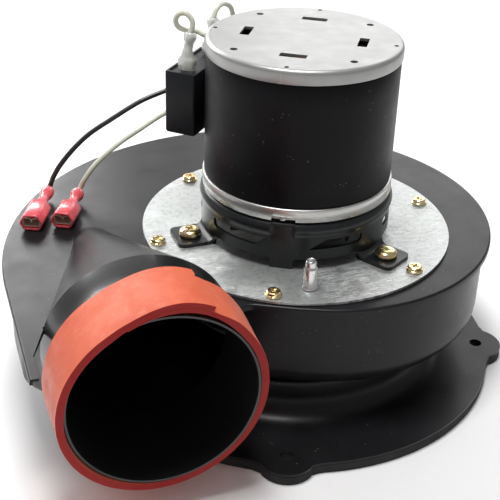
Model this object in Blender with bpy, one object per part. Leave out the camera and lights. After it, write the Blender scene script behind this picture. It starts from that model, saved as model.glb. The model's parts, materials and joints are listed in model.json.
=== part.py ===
"""Furnace combustion fan: a ventilated motor on a snail-shaped blower housing.

Dimensions are in millimetres and meshes are made in metres, +Z up.  z = 0 is
the underside of the flange gasket, the round outlet points along -Y, and the
motor's axis is vertical through (AXIS_X, AXIS_Y).  Every coordinate below is
measured from that axis.
"""

import math

import bmesh
import bpy
from mathutils import Vector
from mathutils.geometry import tessellate_polygon

MM = 0.001

# --- heights -----------------------------------------------------------------
GASKET_TOP = 4.0
FLANGE_BOTTOM, FLANGE_TOP = 4.3, 5.4
FLOOR_Z = 23.0
WALL_TOP = 64.0
COVER_BOTTOM, COVER_TOP = 64.3, 65.5
PLATE_BOTTOM, PLATE_TOP = 65.8, 67.0
CAGE_BOTTOM, CAGE_TOP = 67.3, 88.8
BAND_BOTTOM, BAND_TOP = 89.2, 95.1
SHELL_BOTTOM, SHELL_TOP = 95.4, 149.6
CAP_BOTTOM, CAP_TOP = 149.9, 156.0

# --- inlet flange ------------------------------------------------------------
DISC_RADIUS = 96.6
EAR_ANGLES = (-110.5, -21.7, 68.0, 158.0)
EAR_CENTRE, EAR_RADIUS, EAR_HOLE = 92.0, 12.0, 2.9
NECK_RADIUS, NECK_FILLET = 64.0, 10.0
SHEET = 1.2

# --- scroll ------------------------------------------------------------------
SPIRAL_X, SPIRAL_Y = 3.07, 0.89
SPIRAL_START, SPIRAL_GROWTH = 93.13, 0.1221
SPIRAL_FROM, SPIRAL_TO = 187.0, -107.0
LEFT_EDGE, HEM_END = -134.6, -85.6
LIP_INSET, LIP_DEPTH = 2.5, 2.6
FLOOR_ROUND = 10.0
INLET_RADIUS, INLET_MOUTH = 50.0, 43.5
COVER_OPENING = 60.0

# --- outlet: a 3-inch round pipe ---------------------------------------------
OUTLET_X, OUTLET_Z = -86.6, 52.4
PIPE_RADIUS, PIPE_WALL = 38.1, 1.0
PIPE_END, JUNCTION_Y = -97.0, -53.6
JUNCTION_RADIUS = 39.9
UPPER_APEX, LOWER_APEX, APEX_RADIUS = (-92.0, 15.0), (-90.0, 6.0), 7.5
STRIP_FRONT, STRIP_REAR = -97.15, -73.0
STRIP_TILT_X, STRIP_TILT_Z = 1.84, -1.37
STRIP_INNER, STRIP_THICK, STRIP_FLARE = 38.6, 3.1, 0.7
STRIP_GAP, STRIP_GAP_AT, STRIP_GAP_REACH = 2.2, 78.0, 45.0
STRIP_START, STRIP_RIDE = 111.0, 10.0

# --- motor -------------------------------------------------------------------
PLATE_CENTRE, PLATE_RADIUS = (0.87, 0.39), 70.6
PLATE_SCREW_CIRCLE, PLATE_SCREW_AT = 65.4, 2.0
MOUNT_SCREW_CIRCLE, MOUNT_SCREW_AT = 50.5, 62.0
TAP_AT = (-14.1, -56.1)
CAGE_RADIUS = 43.0
BAND_RADIUS, SHELL_RADIUS, CAP_RADIUS = 42.6, 41.9, 42.4
SHAFT_RADIUS = 4.0
CAPACITOR_AT, CAPACITOR_FACE, CAPACITOR_THICK = 138.0, 42.6, 14.6
CAPACITOR_LENGTH, CAPACITOR_BOTTOM, CAPACITOR_TOP = 37.0, 108.2, 137.0
BRACKET_HEIGHTS = (126.0, 135.0)
GROMMET_AT, GROMMET_Z = 104.0, 118.0

# --- looks -------------------------------------------------------------------
LOOKS = {
    "foam_black": ((0.018, 0.018, 0.019), 0.90, 0.0),
    "painted_charcoal": ((0.026, 0.027, 0.030), 0.42, 0.25),
    "outlet_black": ((0.012, 0.012, 0.013), 0.22, 0.20),
    "silicone_red": ((0.640, 0.085, 0.030), 0.55, 0.0),
    "galvanised": ((0.560, 0.570, 0.580), 0.34, 0.9),
    "yellow_zinc": ((0.640, 0.470, 0.200), 0.30, 0.9),
    "bright_steel": ((0.640, 0.640, 0.650), 0.20, 1.0),
    "cage_black": ((0.016, 0.016, 0.018), 0.38, 0.2),
    "band_zinc": ((0.520, 0.520, 0.500), 0.45, 0.7),
    "shell_black": ((0.014, 0.014, 0.017), 0.40, 0.2),
    "cap_grey": ((0.660, 0.660, 0.650), 0.50, 0.3),
    "case_black": ((0.017, 0.018, 0.021), 0.45, 0.0),
    "clear_nylon": ((0.720, 0.720, 0.660), 0.25, 0.0),
    "red_nylon": ((0.560, 0.030, 0.025), 0.28, 0.0),
    "tinned_brass": ((0.620, 0.580, 0.480), 0.30, 1.0),
    "lead_black": ((0.014, 0.014, 0.015), 0.40, 0.0),
    "lead_white": ((0.700, 0.720, 0.600), 0.42, 0.0),
    "rubber_black": ((0.015, 0.015, 0.015), 0.75, 0.0),
    "silicon_steel": ((0.300, 0.310, 0.330), 0.45, 0.8),
    "copper_enamel": ((0.480, 0.180, 0.060), 0.35, 0.6),
    "rotor_aluminium": ((0.540, 0.550, 0.560), 0.40, 0.9),
    "fan_black": ((0.022, 0.022, 0.024), 0.50, 0.0),
    "wheel_zinc": ((0.500, 0.520, 0.540), 0.40, 0.9),
}


# --- plane geometry ----------------------------------------------------------
def polar(radius, degrees, centre=(0.0, 0.0)):
    angle = math.radians(degrees)
    return (centre[0] + radius * math.cos(angle), centre[1] + radius * math.sin(angle))


def circle(radius, count, centre=(0.0, 0.0), start=0.0):
    return [polar(radius, start + 360.0 * i / count, centre) for i in range(count)]


def arc(radius, first, last, count, centre=(0.0, 0.0)):
    step = (last - first) / (count - 1)
    return [polar(radius, first + step * i, centre) for i in range(count)]


def inset(path, distance):
    """The open path moved to its right-hand side."""
    moved = []
    for i, point in enumerate(path):
        before = Vector(path[max(i - 1, 0)])
        after = Vector(path[min(i + 1, len(path) - 1)])
        along = (after - before).normalized()
        moved.append((point[0] + along.y * distance, point[1] - along.x * distance))
    return moved


def lerp(a, b, share):
    return tuple(p + (q - p) * share for p, q in zip(a, b))


def flat(loop, z):
    return [(x, y, z) for x, y in loop]


def smooth_path(points, count):
    """A curve through the points, with this many steps between each two."""
    padded = [points[0]] + list(points) + [points[-1]]
    curve = []
    for i in range(1, len(padded) - 2):
        a, b, c, d = (Vector(p) for p in padded[i - 1 : i + 3])
        for k in range(count):
            t = k / count
            curve.append(
                0.5 * (2 * b + (c - a) * t + (2 * a - 5 * b + 4 * c - d) * t * t
                       + (3 * b - 3 * c + d - a) * t * t * t)
            )
    curve.append(Vector(points[-1]))
    return curve


# --- meshes ------------------------------------------------------------------
def material(name):
    if name in bpy.data.materials:
        return bpy.data.materials[name]
    colour, rough, metal = LOOKS[name]
    made = bpy.data.materials.new(name)
    made.use_nodes = True
    shader = made.node_tree.nodes["Principled BSDF"]
    shader.inputs["Base Color"].default_value = (*colour, 1.0)
    shader.inputs["Roughness"].default_value = rough
    shader.inputs["Metallic"].default_value = metal
    made.diffuse_color = (*colour, 1.0)
    return made


class Skin:
    """Faces that share a corner wherever their points meet."""

    def __init__(self):
        self.index = {}
        self.points = []
        self.faces = []

    def corner(self, point):
        key = tuple(round(value * 1e4) for value in point)
        if key not in self.index:
            self.index[key] = len(self.points)
            self.points.append(point)
        return self.index[key]

    def face(self, *points):
        corners = []
        for point in points:
            found = self.corner(point)
            if found not in corners:
                corners.append(found)
        if len(corners) > 2:
            self.faces.append(corners)

    def between(self, first, second, closed=True):
        count = len(first)
        for i in range(count if closed else count - 1):
            k = (i + 1) % count
            self.face(first[i], first[k], second[k], second[i])

    def area(self, loops, z):
        """A flat face at z with holes: the first loop is the outline."""
        flats = [[Vector((x, y, 0.0)) for x, y in loop] for loop in loops]
        every = [point for loop in loops for point in loop]
        for triangle in tessellate_polygon(flats):
            self.face(*((*every[i], z) for i in triangle))

    def rings(self, rows, closed=False):
        for first, second in zip(rows, rows[1:]):
            self.between(first, second)
        if closed:
            self.between(rows[-1], rows[0])
        else:
            self.face(*rows[0])
            self.face(*rows[-1])

    def make(self, name, look, up=False, helper=False):
        mesh = bpy.data.meshes.new(name)
        points = [tuple(value * MM for value in point) for point in self.points]
        mesh.from_pydata(points, [], self.faces)
        work = bmesh.new()
        work.from_mesh(mesh)
        bmesh.ops.recalc_face_normals(work, faces=work.faces)
        if up:
            work.faces.ensure_lookup_table()
            top = max(work.faces, key=lambda f: abs(f.normal.z) * f.calc_area())
            if (top.normal.z < 0) == (up > 0):
                bmesh.ops.reverse_faces(work, faces=work.faces)
        work.to_mesh(mesh)
        work.free()
        mesh.shade_smooth()
        mesh.set_sharp_from_angle(angle=math.radians(35.0))
        mesh.materials.append(material(look))
        made = bpy.data.objects.new(name, mesh)
        made.location = AXIS
        bpy.context.scene.collection.objects.link(made)
        if helper:
            made.hide_render = True
            made.display_type = "WIRE"
        return made


def boolean(target, other, operation):
    modifier = target.modifiers.new(other.name, "BOOLEAN")
    modifier.object = other
    modifier.operation = operation
    modifier.solver = "EXACT"


def thicken(target, thickness):
    modifier = target.modifiers.new("sheet", "SOLIDIFY")
    modifier.thickness = thickness * MM
    modifier.offset = -1.0
    modifier.use_even_offset = True


def plate(name, look, loops, bottom, top, helper=False):
    skin = Skin()
    for z in (bottom, top):
        skin.area(loops, z)
    for loop in loops:
        skin.between(flat(loop, bottom), flat(loop, top))
    return skin.make(name, look, helper=helper)


def lathe(name, look, profile, count, centre=(0.0, 0.0), ring=True, helper=False):
    """Turns (radius, z) pairs; a profile that meets the axis has ring False."""
    skin = Skin()
    rows = [flat(circle(radius, count, centre), z) for radius, z in profile]
    if ring:
        skin.rings(rows, closed=True)
    else:
        for first, second in zip(rows, rows[1:]):
            skin.between(first, second)
    return skin.make(name, look, helper=helper)


def polar_cells(name, look, radii, degrees, heights, filled, sweep=None):
    """The skin of a polar grid's filled cells; degrees wrap after one turn."""
    turns = len(degrees)
    degrees = list(degrees) + [degrees[0] + 360.0]
    sweep = sweep or (lambda radius: 0.0)

    def is_filled(i, j, k):
        if not (0 <= i < len(radii) - 1 and 0 <= k < len(heights) - 1):
            return False
        j %= turns
        radius = (radii[i] + radii[i + 1]) / 2
        angle = (degrees[j] + degrees[j + 1]) / 2
        return filled(radius, angle, (heights[k] + heights[k + 1]) / 2)

    def at(i, j, k):
        turn = degrees[j % turns]
        return (*polar(radii[i], turn + sweep(radii[i])), heights[k])

    skin = Skin()
    for i in range(len(radii) - 1):
        for j in range(turns):
            for k in range(len(heights) - 1):
                if not is_filled(i, j, k):
                    continue
                corners = {
                    (a, b, c): at(i + a, j + b, k + c)
                    for a in (0, 1) for b in (0, 1) for c in (0, 1)
                }
                sides = (
                    ((-1, 0, 0), ((0, 0, 0), (0, 0, 1), (0, 1, 1), (0, 1, 0))),
                    ((1, 0, 0), ((1, 0, 0), (1, 1, 0), (1, 1, 1), (1, 0, 1))),
                    ((0, -1, 0), ((0, 0, 0), (1, 0, 0), (1, 0, 1), (0, 0, 1))),
                    ((0, 1, 0), ((0, 1, 0), (0, 1, 1), (1, 1, 1), (1, 1, 0))),
                    ((0, 0, -1), ((0, 0, 0), (0, 1, 0), (1, 1, 0), (1, 0, 0))),
                    ((0, 0, 1), ((0, 0, 1), (1, 0, 1), (1, 1, 1), (0, 1, 1))),
                )
                for (a, b, c), side in sides:
                    if not is_filled(i + a, j + b, k + c):
                        skin.face(*(corners[corner] for corner in side))
    return skin.make(name, look)


def breakpoints(spans, step):
    """Every span's ends, with the stretches between them split into steps."""
    ends = sorted({value % 360.0 for span in spans for value in span})
    found = []
    for first, last in zip(ends, ends[1:] + [ends[0] + 360.0]):
        parts = max(1, math.ceil((last - first) / step))
        found += [first + (last - first) * i / parts for i in range(parts)]
    return found


def within(angle, spans):
    return any((angle - first) % 360.0 < (last - first) for first, last in spans)


# --- outlines ----------------------------------------------------------------
def spiral_point(degrees):
    radius = SPIRAL_START * math.exp(SPIRAL_GROWTH * math.radians(degrees))
    return polar(radius, degrees, (SPIRAL_X, SPIRAL_Y))


def flange_outline():
    loop = []
    for ear in EAR_ANGLES:
        centre = polar(EAR_CENTRE, ear)
        loop.append(polar(DISC_RADIUS, ear - 9.2))
        loop.append(polar(DISC_RADIUS + 0.4, ear - 7.8))
        loop += arc(EAR_RADIUS, ear - 62.0, ear + 62.0, 9, centre)
        loop.append(polar(DISC_RADIUS + 0.4, ear + 7.8))
        loop += arc(DISC_RADIUS, ear + 9.2, ear + 78.0, 10)
    return loop


SPIRAL_STEPS = 46
SPIRAL = [
    spiral_point(SPIRAL_FROM + (SPIRAL_TO - SPIRAL_FROM) * i / SPIRAL_STEPS)
    for i in range(SPIRAL_STEPS + 1)
]
TONGUE = [(-24.9, -67.4), (-32.2, -63.9), (-39.4, -60.2)]


def strip_turns(end):
    """How far round from its start each station of the silicone band lies."""
    turns = [0.0, 12.0, 24.0, 36.0, 50.0, 60.0]
    turns += [60.0 + 12.0 * i for i in range(1, 25)]
    return turns + [354.0, 360.0, 372.0, 384.0, 396.0, 360.0 + end]


def strip_edge(degrees):
    """The band's front edge stands a little askew to the pipe's end."""
    across, up = polar(1.0, degrees)
    return STRIP_FRONT + STRIP_TILT_X * across + STRIP_TILT_Z * up


X_LEFT, X_RIGHT = LEFT_EDGE, max(x for x, y in SPIRAL + flange_outline())
Y_FRONT = min(strip_edge(STRIP_START - turn) for turn in strip_turns(47.0))
Y_BACK = max(y for x, y in SPIRAL)
AXIS_X, AXIS_Y = -(X_LEFT + X_RIGHT) / 2, -(Y_FRONT + Y_BACK) / 2
AXIS = (AXIS_X * MM, AXIS_Y * MM, 0.0)


def junction(degrees, y=JUNCTION_Y, radius=JUNCTION_RADIUS):
    x, z = polar(radius, degrees, (OUTLET_X, OUTLET_Z))
    return (x, y, z)


def ramp_rows(apex, level, apex_from, apex_to, count, rows):
    """Ruled rows from an arc in the sheet's plane to the pipe's own circle."""
    drop = math.degrees(math.asin((level - OUTLET_Z) / JUNCTION_RADIUS))
    first, last = (180.0 - drop, drop)
    if level < OUTLET_Z:
        last += 360.0
    apex_line = flat(arc(APEX_RADIUS, apex_from, apex_to, count, apex), level)
    pipe_line = [
        junction(first + (last - first) * i / (count - 1)) for i in range(count)
    ]
    return [
        [lerp(a, b, row / (rows - 1)) for a, b in zip(apex_line, pipe_line)]
        for row in range(rows)
    ]


# --- housing -----------------------------------------------------------------
def build_flange():
    holes = [circle(EAR_HOLE, 8, polar(EAR_CENTRE, ear)) for ear in EAR_ANGLES]
    plate(
        "flange_gasket", "foam_black",
        [flange_outline(), circle(70.0, 40)] + holes, 0.0, GASKET_TOP,
    )
    outline = flange_outline()
    count = 48
    fillet = [
        (NECK_RADIUS + NECK_FILLET * (1 - math.sin(a)), NECK_FILLET * (1 - math.cos(a)))
        for a in (math.radians(30.0 * i) for i in range(4))
    ]
    top = FLOOR_Z - 0.3
    outside = [(r, FLANGE_TOP + z) for r, z in fillet] + [(NECK_RADIUS, top)]
    outside += [(54.0, top), (54.0, top - 1.1), (NECK_RADIUS - 1.1, top - 1.1)]
    inside = [(r - 1.1 * i / 3, FLANGE_BOTTOM + z) for i, (r, z) in enumerate(fillet)]
    profile = outside + inside[::-1]
    skin = Skin()
    skin.area([outline, circle(profile[0][0], count)] + holes, FLANGE_TOP)
    skin.area([outline, circle(profile[-1][0], count)] + holes, FLANGE_BOTTOM)
    for loop in [outline] + holes:
        skin.between(flat(loop, FLANGE_BOTTOM), flat(loop, FLANGE_TOP))
    rows = [flat(circle(radius, count), z) for radius, z in profile]
    for first, second in zip(rows, rows[1:]):
        skin.between(first, second)
    skin.make("inlet_flange", "painted_charcoal")


def build_housing():
    outline = [(LEFT_EDGE, -36.0), (LEFT_EDGE, -26.0)] + SPIRAL + TONGUE
    path = inset(outline, LIP_INSET)
    left_end, right_end = junction(180.0), junction(0.0)
    left_blend = [(-126.5, JUNCTION_Y, 1.0), (-129.6, -47.5, 0.55), (-131.4, -42.0, 0.2)]
    columns = left_blend + [(x, y, 0.0) for x, y in path] + [(-46.7, JUNCTION_Y, 1.0)]
    line = [(x, y) for x, y, _ in columns]
    insides = inset(line, 1.0)
    turns = [math.radians(30.0 * i) for i in range(4)]
    levels = [(z, 0.0) for z in (WALL_TOP, OUTLET_Z)]
    levels += [
        (FLOOR_Z + FLOOR_ROUND * (1 - math.sin(a)), FLOOR_ROUND * (1 - math.cos(a)))
        for a in turns
    ]
    rows = []
    for z, inward in levels:
        half = math.sqrt(JUNCTION_RADIUS**2 - (z - OUTLET_Z) ** 2)
        row = []
        for i, (x, y, round_share) in enumerate(columns):
            side = -1.0 if i < len(columns) / 2 else 1.0
            shift = side * (half - JUNCTION_RADIUS) * round_share
            normal = Vector(insides[i]) - Vector(line[i])
            move = inward * (1.0 - round_share)
            end = left_end[0] if side < 0 else right_end[0]
            base = end if round_share == 1.0 else x
            row.append((base + shift + normal.x * move, y + normal.y * move, z))
        rows.append(row)
    skin = Skin()
    for first, second in zip(rows, rows[1:]):
        skin.between(first, second, closed=False)
    bottom = [(x, y) for x, y, _ in rows[-1]]
    lower = ramp_rows(LOWER_APEX, FLOOR_Z, 203.0, 26.0, 13, 4)
    crease_left = [(row[0][0], row[0][1]) for row in lower]
    crease_right = [(row[-1][0], row[-1][1]) for row in lower]
    apex_line = [(x, y) for x, y, _ in lower[0]]
    notch = crease_right[::-1] + apex_line[-2:0:-1] + crease_left
    floor = bottom + notch[1:-1]
    mouth_count = 40
    skin.area([floor, circle(INLET_RADIUS, mouth_count)], FLOOR_Z)
    bell = [(INLET_RADIUS, FLOOR_Z), (45.4, 26.6), (INLET_MOUTH, 35.0)]
    for (r1, z1), (r2, z2) in zip(bell, bell[1:]):
        skin.between(flat(circle(r1, mouth_count), z1), flat(circle(r2, mouth_count), z2))
    for first, second in zip(lower, lower[1:]):
        skin.between(first, second, closed=False)
    thicken(skin.make("scroll_housing", "painted_charcoal", up=-1), SHEET)


def clear_of_plate(row):
    """The ramp's side bows round the motor plate."""
    moved = []
    for i, (x, y, z) in enumerate(row):
        least = PLATE_RADIUS + 0.8 + 0.5 * (len(row) - 1 - i)
        away = Vector((x, y)) - Vector(PLATE_CENTRE)
        away *= max(1.0, least / away.length)
        moved.append((*(away + Vector(PLATE_CENTRE)), z))
    return moved


def build_cover():
    ramp = ramp_rows(UPPER_APEX, COVER_TOP, 203.5, 26.0, 17, 5)
    ramp = [clear_of_plate(row) for row in ramp]
    crease_left = [(row[0][0], row[0][1]) for row in ramp]
    crease_right = [(row[-1][0], row[-1][1]) for row in ramp]
    apex_line = [(x, y) for x, y, _ in ramp[0]]
    lip = [(LEFT_EDGE, HEM_END), (LEFT_EDGE, -60.0), (LEFT_EDGE, -38.0)]
    lip += SPIRAL + TONGUE
    lip += [(-43.5, -59.8), (-46.3, -61.8), (-47.7, -65.0), (-47.9, -71.5)]
    back = [(-50.4, -71.5), (-50.4, -54.6)]
    notch = crease_right[::-1] + apex_line[-2:0:-1] + crease_left
    front = [(-130.9, -70.9), (-131.0, HEM_END)]
    holes = [
        circle(2.3, 8, polar(PLATE_SCREW_CIRCLE, PLATE_SCREW_AT + 60.0 * i))
        for i in range(6)
    ]
    # the opening is let out where the pressure tap passes
    tap_at = math.degrees(math.atan2(TAP_AT[1], TAP_AT[0])) % 360.0
    opening = []
    for i in range(60):
        let_out = 4.6 if abs(6.0 * i - tap_at) < 7.0 else 0.0
        opening.append(polar(COVER_OPENING + let_out, 6.0 * i))
    skin = Skin()
    skin.area([lip + back + notch + front, opening] + holes, COVER_TOP)
    skin.between(flat(lip, COVER_TOP), flat(lip, COVER_TOP - LIP_DEPTH), closed=False)
    for first, second in zip(ramp, ramp[1:]):
        skin.between(first, second, closed=False)
    thicken(skin.make("scroll_cover", "painted_charcoal", up=1), SHEET)


def build_outlet():
    skin = Skin()
    tube = (
        (PIPE_RADIUS, JUNCTION_Y - 0.3), (PIPE_RADIUS, PIPE_END),
        (PIPE_RADIUS - PIPE_WALL, PIPE_END), (PIPE_RADIUS - PIPE_WALL, JUNCTION_Y - 0.3),
    )
    rows = [
        [junction(7.5 * i, y, radius) for i in range(48)] for radius, y in tube
    ]
    skin.rings(rows, closed=True)
    skin.make("outlet_collar", "outlet_black")

    # the band goes once round clockwise, rides up over its own start, ends on
    # top of it, and stands off the pipe where it laps
    lap_inner, lap_outer = 2.0, 2.1
    lap_at, full = 50.0, 360.0
    skin = Skin()
    rows = []
    for end, flare in ((47.0, 0.0), (42.0, STRIP_FLARE)):
        inner, outer = [], []
        for turn in strip_turns(end):
            degrees = STRIP_START - turn
            y = STRIP_REAR if flare else strip_edge(degrees)
            aside = (degrees - STRIP_GAP_AT + 180.0) % 360.0 - 180.0
            swell = max(0.0, math.cos(math.radians(90.0 * min(1.0, abs(aside) / STRIP_GAP_REACH))))
            low = STRIP_INNER + STRIP_GAP * swell**2
            thick = STRIP_THICK
            if turn < lap_at + STRIP_RIDE:
                rise = max(0.0, turn - lap_at) / STRIP_RIDE
                thick = lap_inner + (STRIP_THICK - lap_inner) * rise
            if turn > full - STRIP_RIDE:
                rise = min(1.0, (turn - full + STRIP_RIDE) / STRIP_RIDE)
                low += (lap_inner + 0.15) * rise
                thick = STRIP_THICK + (lap_outer - STRIP_THICK) * rise
            low += flare
            inner.append(junction(degrees, y, low))
            outer.append(junction(degrees, y, low + thick))
        rows.append((inner, outer))
    (inner_front, outer_front), (inner_rear, outer_rear) = rows
    skin.between(inner_front, outer_front, closed=False)
    skin.between(inner_rear, outer_rear, closed=False)
    skin.between(inner_front, inner_rear, closed=False)
    skin.between(outer_front, outer_rear, closed=False)
    for i in (0, -1):
        skin.face(inner_front[i], outer_front[i], outer_rear[i], inner_rear[i])
    skin.make("outlet_seal_strip", "silicone_red")


# --- motor -------------------------------------------------------------------
def build_motor_plate():
    screws = [
        polar(PLATE_SCREW_CIRCLE, PLATE_SCREW_AT + 60.0 * i) for i in range(6)
    ]
    mounts = [
        polar(MOUNT_SCREW_CIRCLE, MOUNT_SCREW_AT + 120.0 * i) for i in range(3)
    ]
    loops = [circle(PLATE_RADIUS, 72, PLATE_CENTRE), circle(6.0, 16)]
    loops += [circle(2.3, 8, at) for at in screws]
    loops += [circle(2.6, 8, at) for at in mounts]
    loops += [circle(3.0, 10, TAP_AT)]
    plate("motor_plate", "galvanised", loops, PLATE_BOTTOM, PLATE_TOP)
    for i, at in enumerate(screws):
        head = [(3.6, 67.3), (3.6, 68.2), (3.2, 69.1), (2.1, 69.6)]
        profile = [(0.0, 60.0), (1.8, 60.4), (1.8, 67.3)] + head + [(0.0, 69.7)]
        name = f"plate_screw_{i + 1}"
        lathe(name, "yellow_zinc", profile, 12, at, ring=False)
    for i, at in enumerate(mounts):
        head = [(5.0, 69.1), (5.0, 70.2), (4.2, 71.5), (2.4, 72.2)]
        profile = [(0.0, 62.4), (2.1, 62.8), (2.1, 69.1)] + head + [(0.0, 72.3)]
        name = f"mount_screw_{i + 1}"
        lathe(name, "yellow_zinc", profile, 14, at, ring=False)
    lathe(
        "pressure_tap", "bright_steel",
        [(2.6, 63.4), (2.6, 67.3), (3.5, 67.3), (3.5, 68.1), (3.0, 68.5),
         (3.0, 76.6), (2.35, 77.2), (2.35, 79.6), (2.0, 80.1), (1.4, 80.1),
         (1.4, 63.4)],
        16, TAP_AT,
    )


def build_cage():
    wide = [(-167.0 + 120.0 * i, -127.0 + 120.0 * i) for i in range(3)]
    narrow = [(-111.4 + 120.0 * i, -68.5 + 120.0 * i) for i in range(3)]
    legs = [(-125.0 + 120.0 * i, -111.5 + 120.0 * i) for i in range(3)]
    feet = [(-71.5 + 120.0 * i, -44.5 + 120.0 * i) for i in range(3)]
    inner = CAGE_RADIUS - 1.2

    def filled(radius, angle, z):
        if z > 87.6:
            return True
        if radius < inner:
            return False
        if z < 71.7:
            return within(angle, legs) or within(angle, feet)
        if 76.6 < z < 81.0:
            return not within(angle, wide) and not within(angle, narrow)
        return True

    cage = polar_cells(
        "motor_cage", "cage_black", (39.0, inner, CAGE_RADIUS),
        breakpoints(wide + narrow + legs + feet, 9.0),
        (CAGE_BOTTOM, 71.7, 76.6, 81.0, 87.6, CAGE_TOP), filled,
    )
    for i in range(3):
        turn = MOUNT_SCREW_AT + 120.0 * i
        out = Vector(polar(1.0, turn))
        side = Vector(polar(1.0, turn + 90.0))
        shape = (
            (42.1, -8.7), (54.5, -8.7), (57.0, -7.7), (58.0, -5.2),
            (58.0, 5.2), (57.0, 7.7), (54.5, 8.7), (42.1, 8.7),
        )
        outline = [tuple(out * u + side * v) for u, v in shape]
        hole = circle(2.5, 10, polar(MOUNT_SCREW_CIRCLE, turn))
        ear = plate(
            f"ear_{i + 1}", "cage_black", [outline, hole], CAGE_BOTTOM - 0.01, 68.8,
            helper=True,
        )
        boolean(cage, ear, "UNION")


def build_motor_body():
    band = lathe(
        "lower_band", "band_zinc",
        [(BAND_RADIUS, BAND_BOTTOM), (BAND_RADIUS, BAND_TOP), (41.2, BAND_TOP),
         (41.2, 90.6), (12.6, 90.6), (12.6, 97.5), (11.0, 97.5), (11.0, 90.4),
         (8.0, 90.4), (8.0, BAND_BOTTOM)],
        48,
    )
    skin = Skin()
    notch = [polar(r, a) for r, a in ((40.0, -129.0), (45.0, -128.8),
                                      (45.0, -115.4), (40.0, -115.2))]
    skin.rings([flat(notch, BAND_BOTTOM - 1.0), flat(notch, BAND_BOTTOM + 2.0)])
    boolean(band, skin.make("band_notch", "band_zinc", helper=True), "DIFFERENCE")

    shell = lathe(
        "motor_shell", "shell_black",
        [(SHELL_RADIUS, SHELL_BOTTOM), (SHELL_RADIUS, SHELL_TOP),
         (SHELL_RADIUS - 1.0, SHELL_TOP), (SHELL_RADIUS - 1.0, SHELL_BOTTOM)],
        56,
    )
    hole = radial_rings(((38.0, 4.6), (46.0, 4.6)), 12, GROMMET_AT, GROMMET_Z)
    skin = Skin()
    skin.rings(hole)
    boolean(shell, skin.make("lead_hole", "shell_black", helper=True), "DIFFERENCE")
    skin = Skin()
    skin.rings(
        radial_rings(
            ((42.4, 3.9), (47.0, 3.9), (47.6, 4.5), (47.0, 6.2), (43.4, 7.0), (42.4, 7.0)),
            16, GROMMET_AT, GROMMET_Z,
        ),
        closed=True,
    )
    skin.make("lead_grommet", "rubber_black")

    holes = [circle(1.0, 6, polar(39.0, 58.5 + 90.0 * i)) for i in range(4)]
    holes += [circle(1.6, 8, polar(35.0, 13.5 + 90.0 * i)) for i in range(4)]
    for i in range(4):
        turn = 58.5 + 90.0 * i
        out = Vector(polar(1.0, turn))
        side = Vector(polar(1.0, turn + 90.0))
        shape = ((23.0, -5.6), (27.2, -5.6), (27.2, 5.6), (23.0, 5.6))
        holes.append([tuple(out * u + side * v) for u, v in shape])
    rim = [
        (40.6, CAP_TOP), (41.8, 155.5), (CAP_RADIUS, 154.2), (CAP_RADIUS, CAP_BOTTOM),
        (41.2, CAP_BOTTOM), (41.2, 153.8), (40.2, 154.8),
    ]
    boss = [(12.6, 154.8), (12.6, 147.2), (11.0, 147.2), (11.0, 154.8)]
    skin = Skin()
    skin.area([circle(rim[0][0], 56)] + holes, CAP_TOP)
    skin.area([circle(rim[-1][0], 56), circle(boss[0][0], 20)] + holes, 154.8)
    skin.area([circle(boss[-1][0], 20)], 154.8)
    for profile, count in ((rim, 56), (boss, 20)):
        rows = [flat(circle(radius, count), z) for radius, z in profile]
        for first, second in zip(rows, rows[1:]):
            skin.between(first, second)
    for loop in holes:
        skin.between(flat(loop, 154.8), flat(loop, CAP_TOP))
    skin.make("top_cap", "cap_grey")


def radial_rings(profile, count, degrees, z):
    """Rings round a level axis that leaves the motor at this angle."""
    out = Vector((*polar(1.0, degrees), 0.0))
    side = Vector((*polar(1.0, degrees + 90.0), 0.0))
    rows = []
    for reach, radius in profile:
        row = []
        for a, b in circle(radius, count):
            row.append(tuple(out * reach + side * a + Vector((0.0, 0.0, z + b))))
        rows.append(row)
    return rows


def build_motor_inside():
    bore = []
    for i in range(12):
        middle = 30.0 * i
        bore += [polar(22.6, middle - 11.0), polar(22.6, middle), polar(22.6, middle + 11.0)]
        bore += [polar(32.5, middle + 12.0), polar(32.5, middle + 18.0)]
    plate("stator_core", "silicon_steel", [circle(40.6, 48), bore], 106.0, 138.0)
    for name, low, high in (
        ("stator_winding_upper", 138.3, 146.5), ("stator_winding_lower", 98.2, 105.7),
    ):
        bundle = [(24.0, low), (38.5, low), (37.0, high - 2.0), (34.0, high),
                  (28.0, high), (25.0, high - 2.0)]
        lathe(name, "copper_enamel", bundle, 28)
    for name, low, high in (("lower_bearing", 90.7, 97.2), ("upper_bearing", 147.6, 154.4)):
        race = [(4.4, low), (10.6, low), (10.6, high), (4.4, high)]
        lathe(name, "bright_steel", race, 24)
    seal = [(5.0, 64.3), (24.0, 64.3), (24.0, 65.4), (5.0, 65.4)]
    lathe("shaft_seal", "galvanised", seal, 32)


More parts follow.
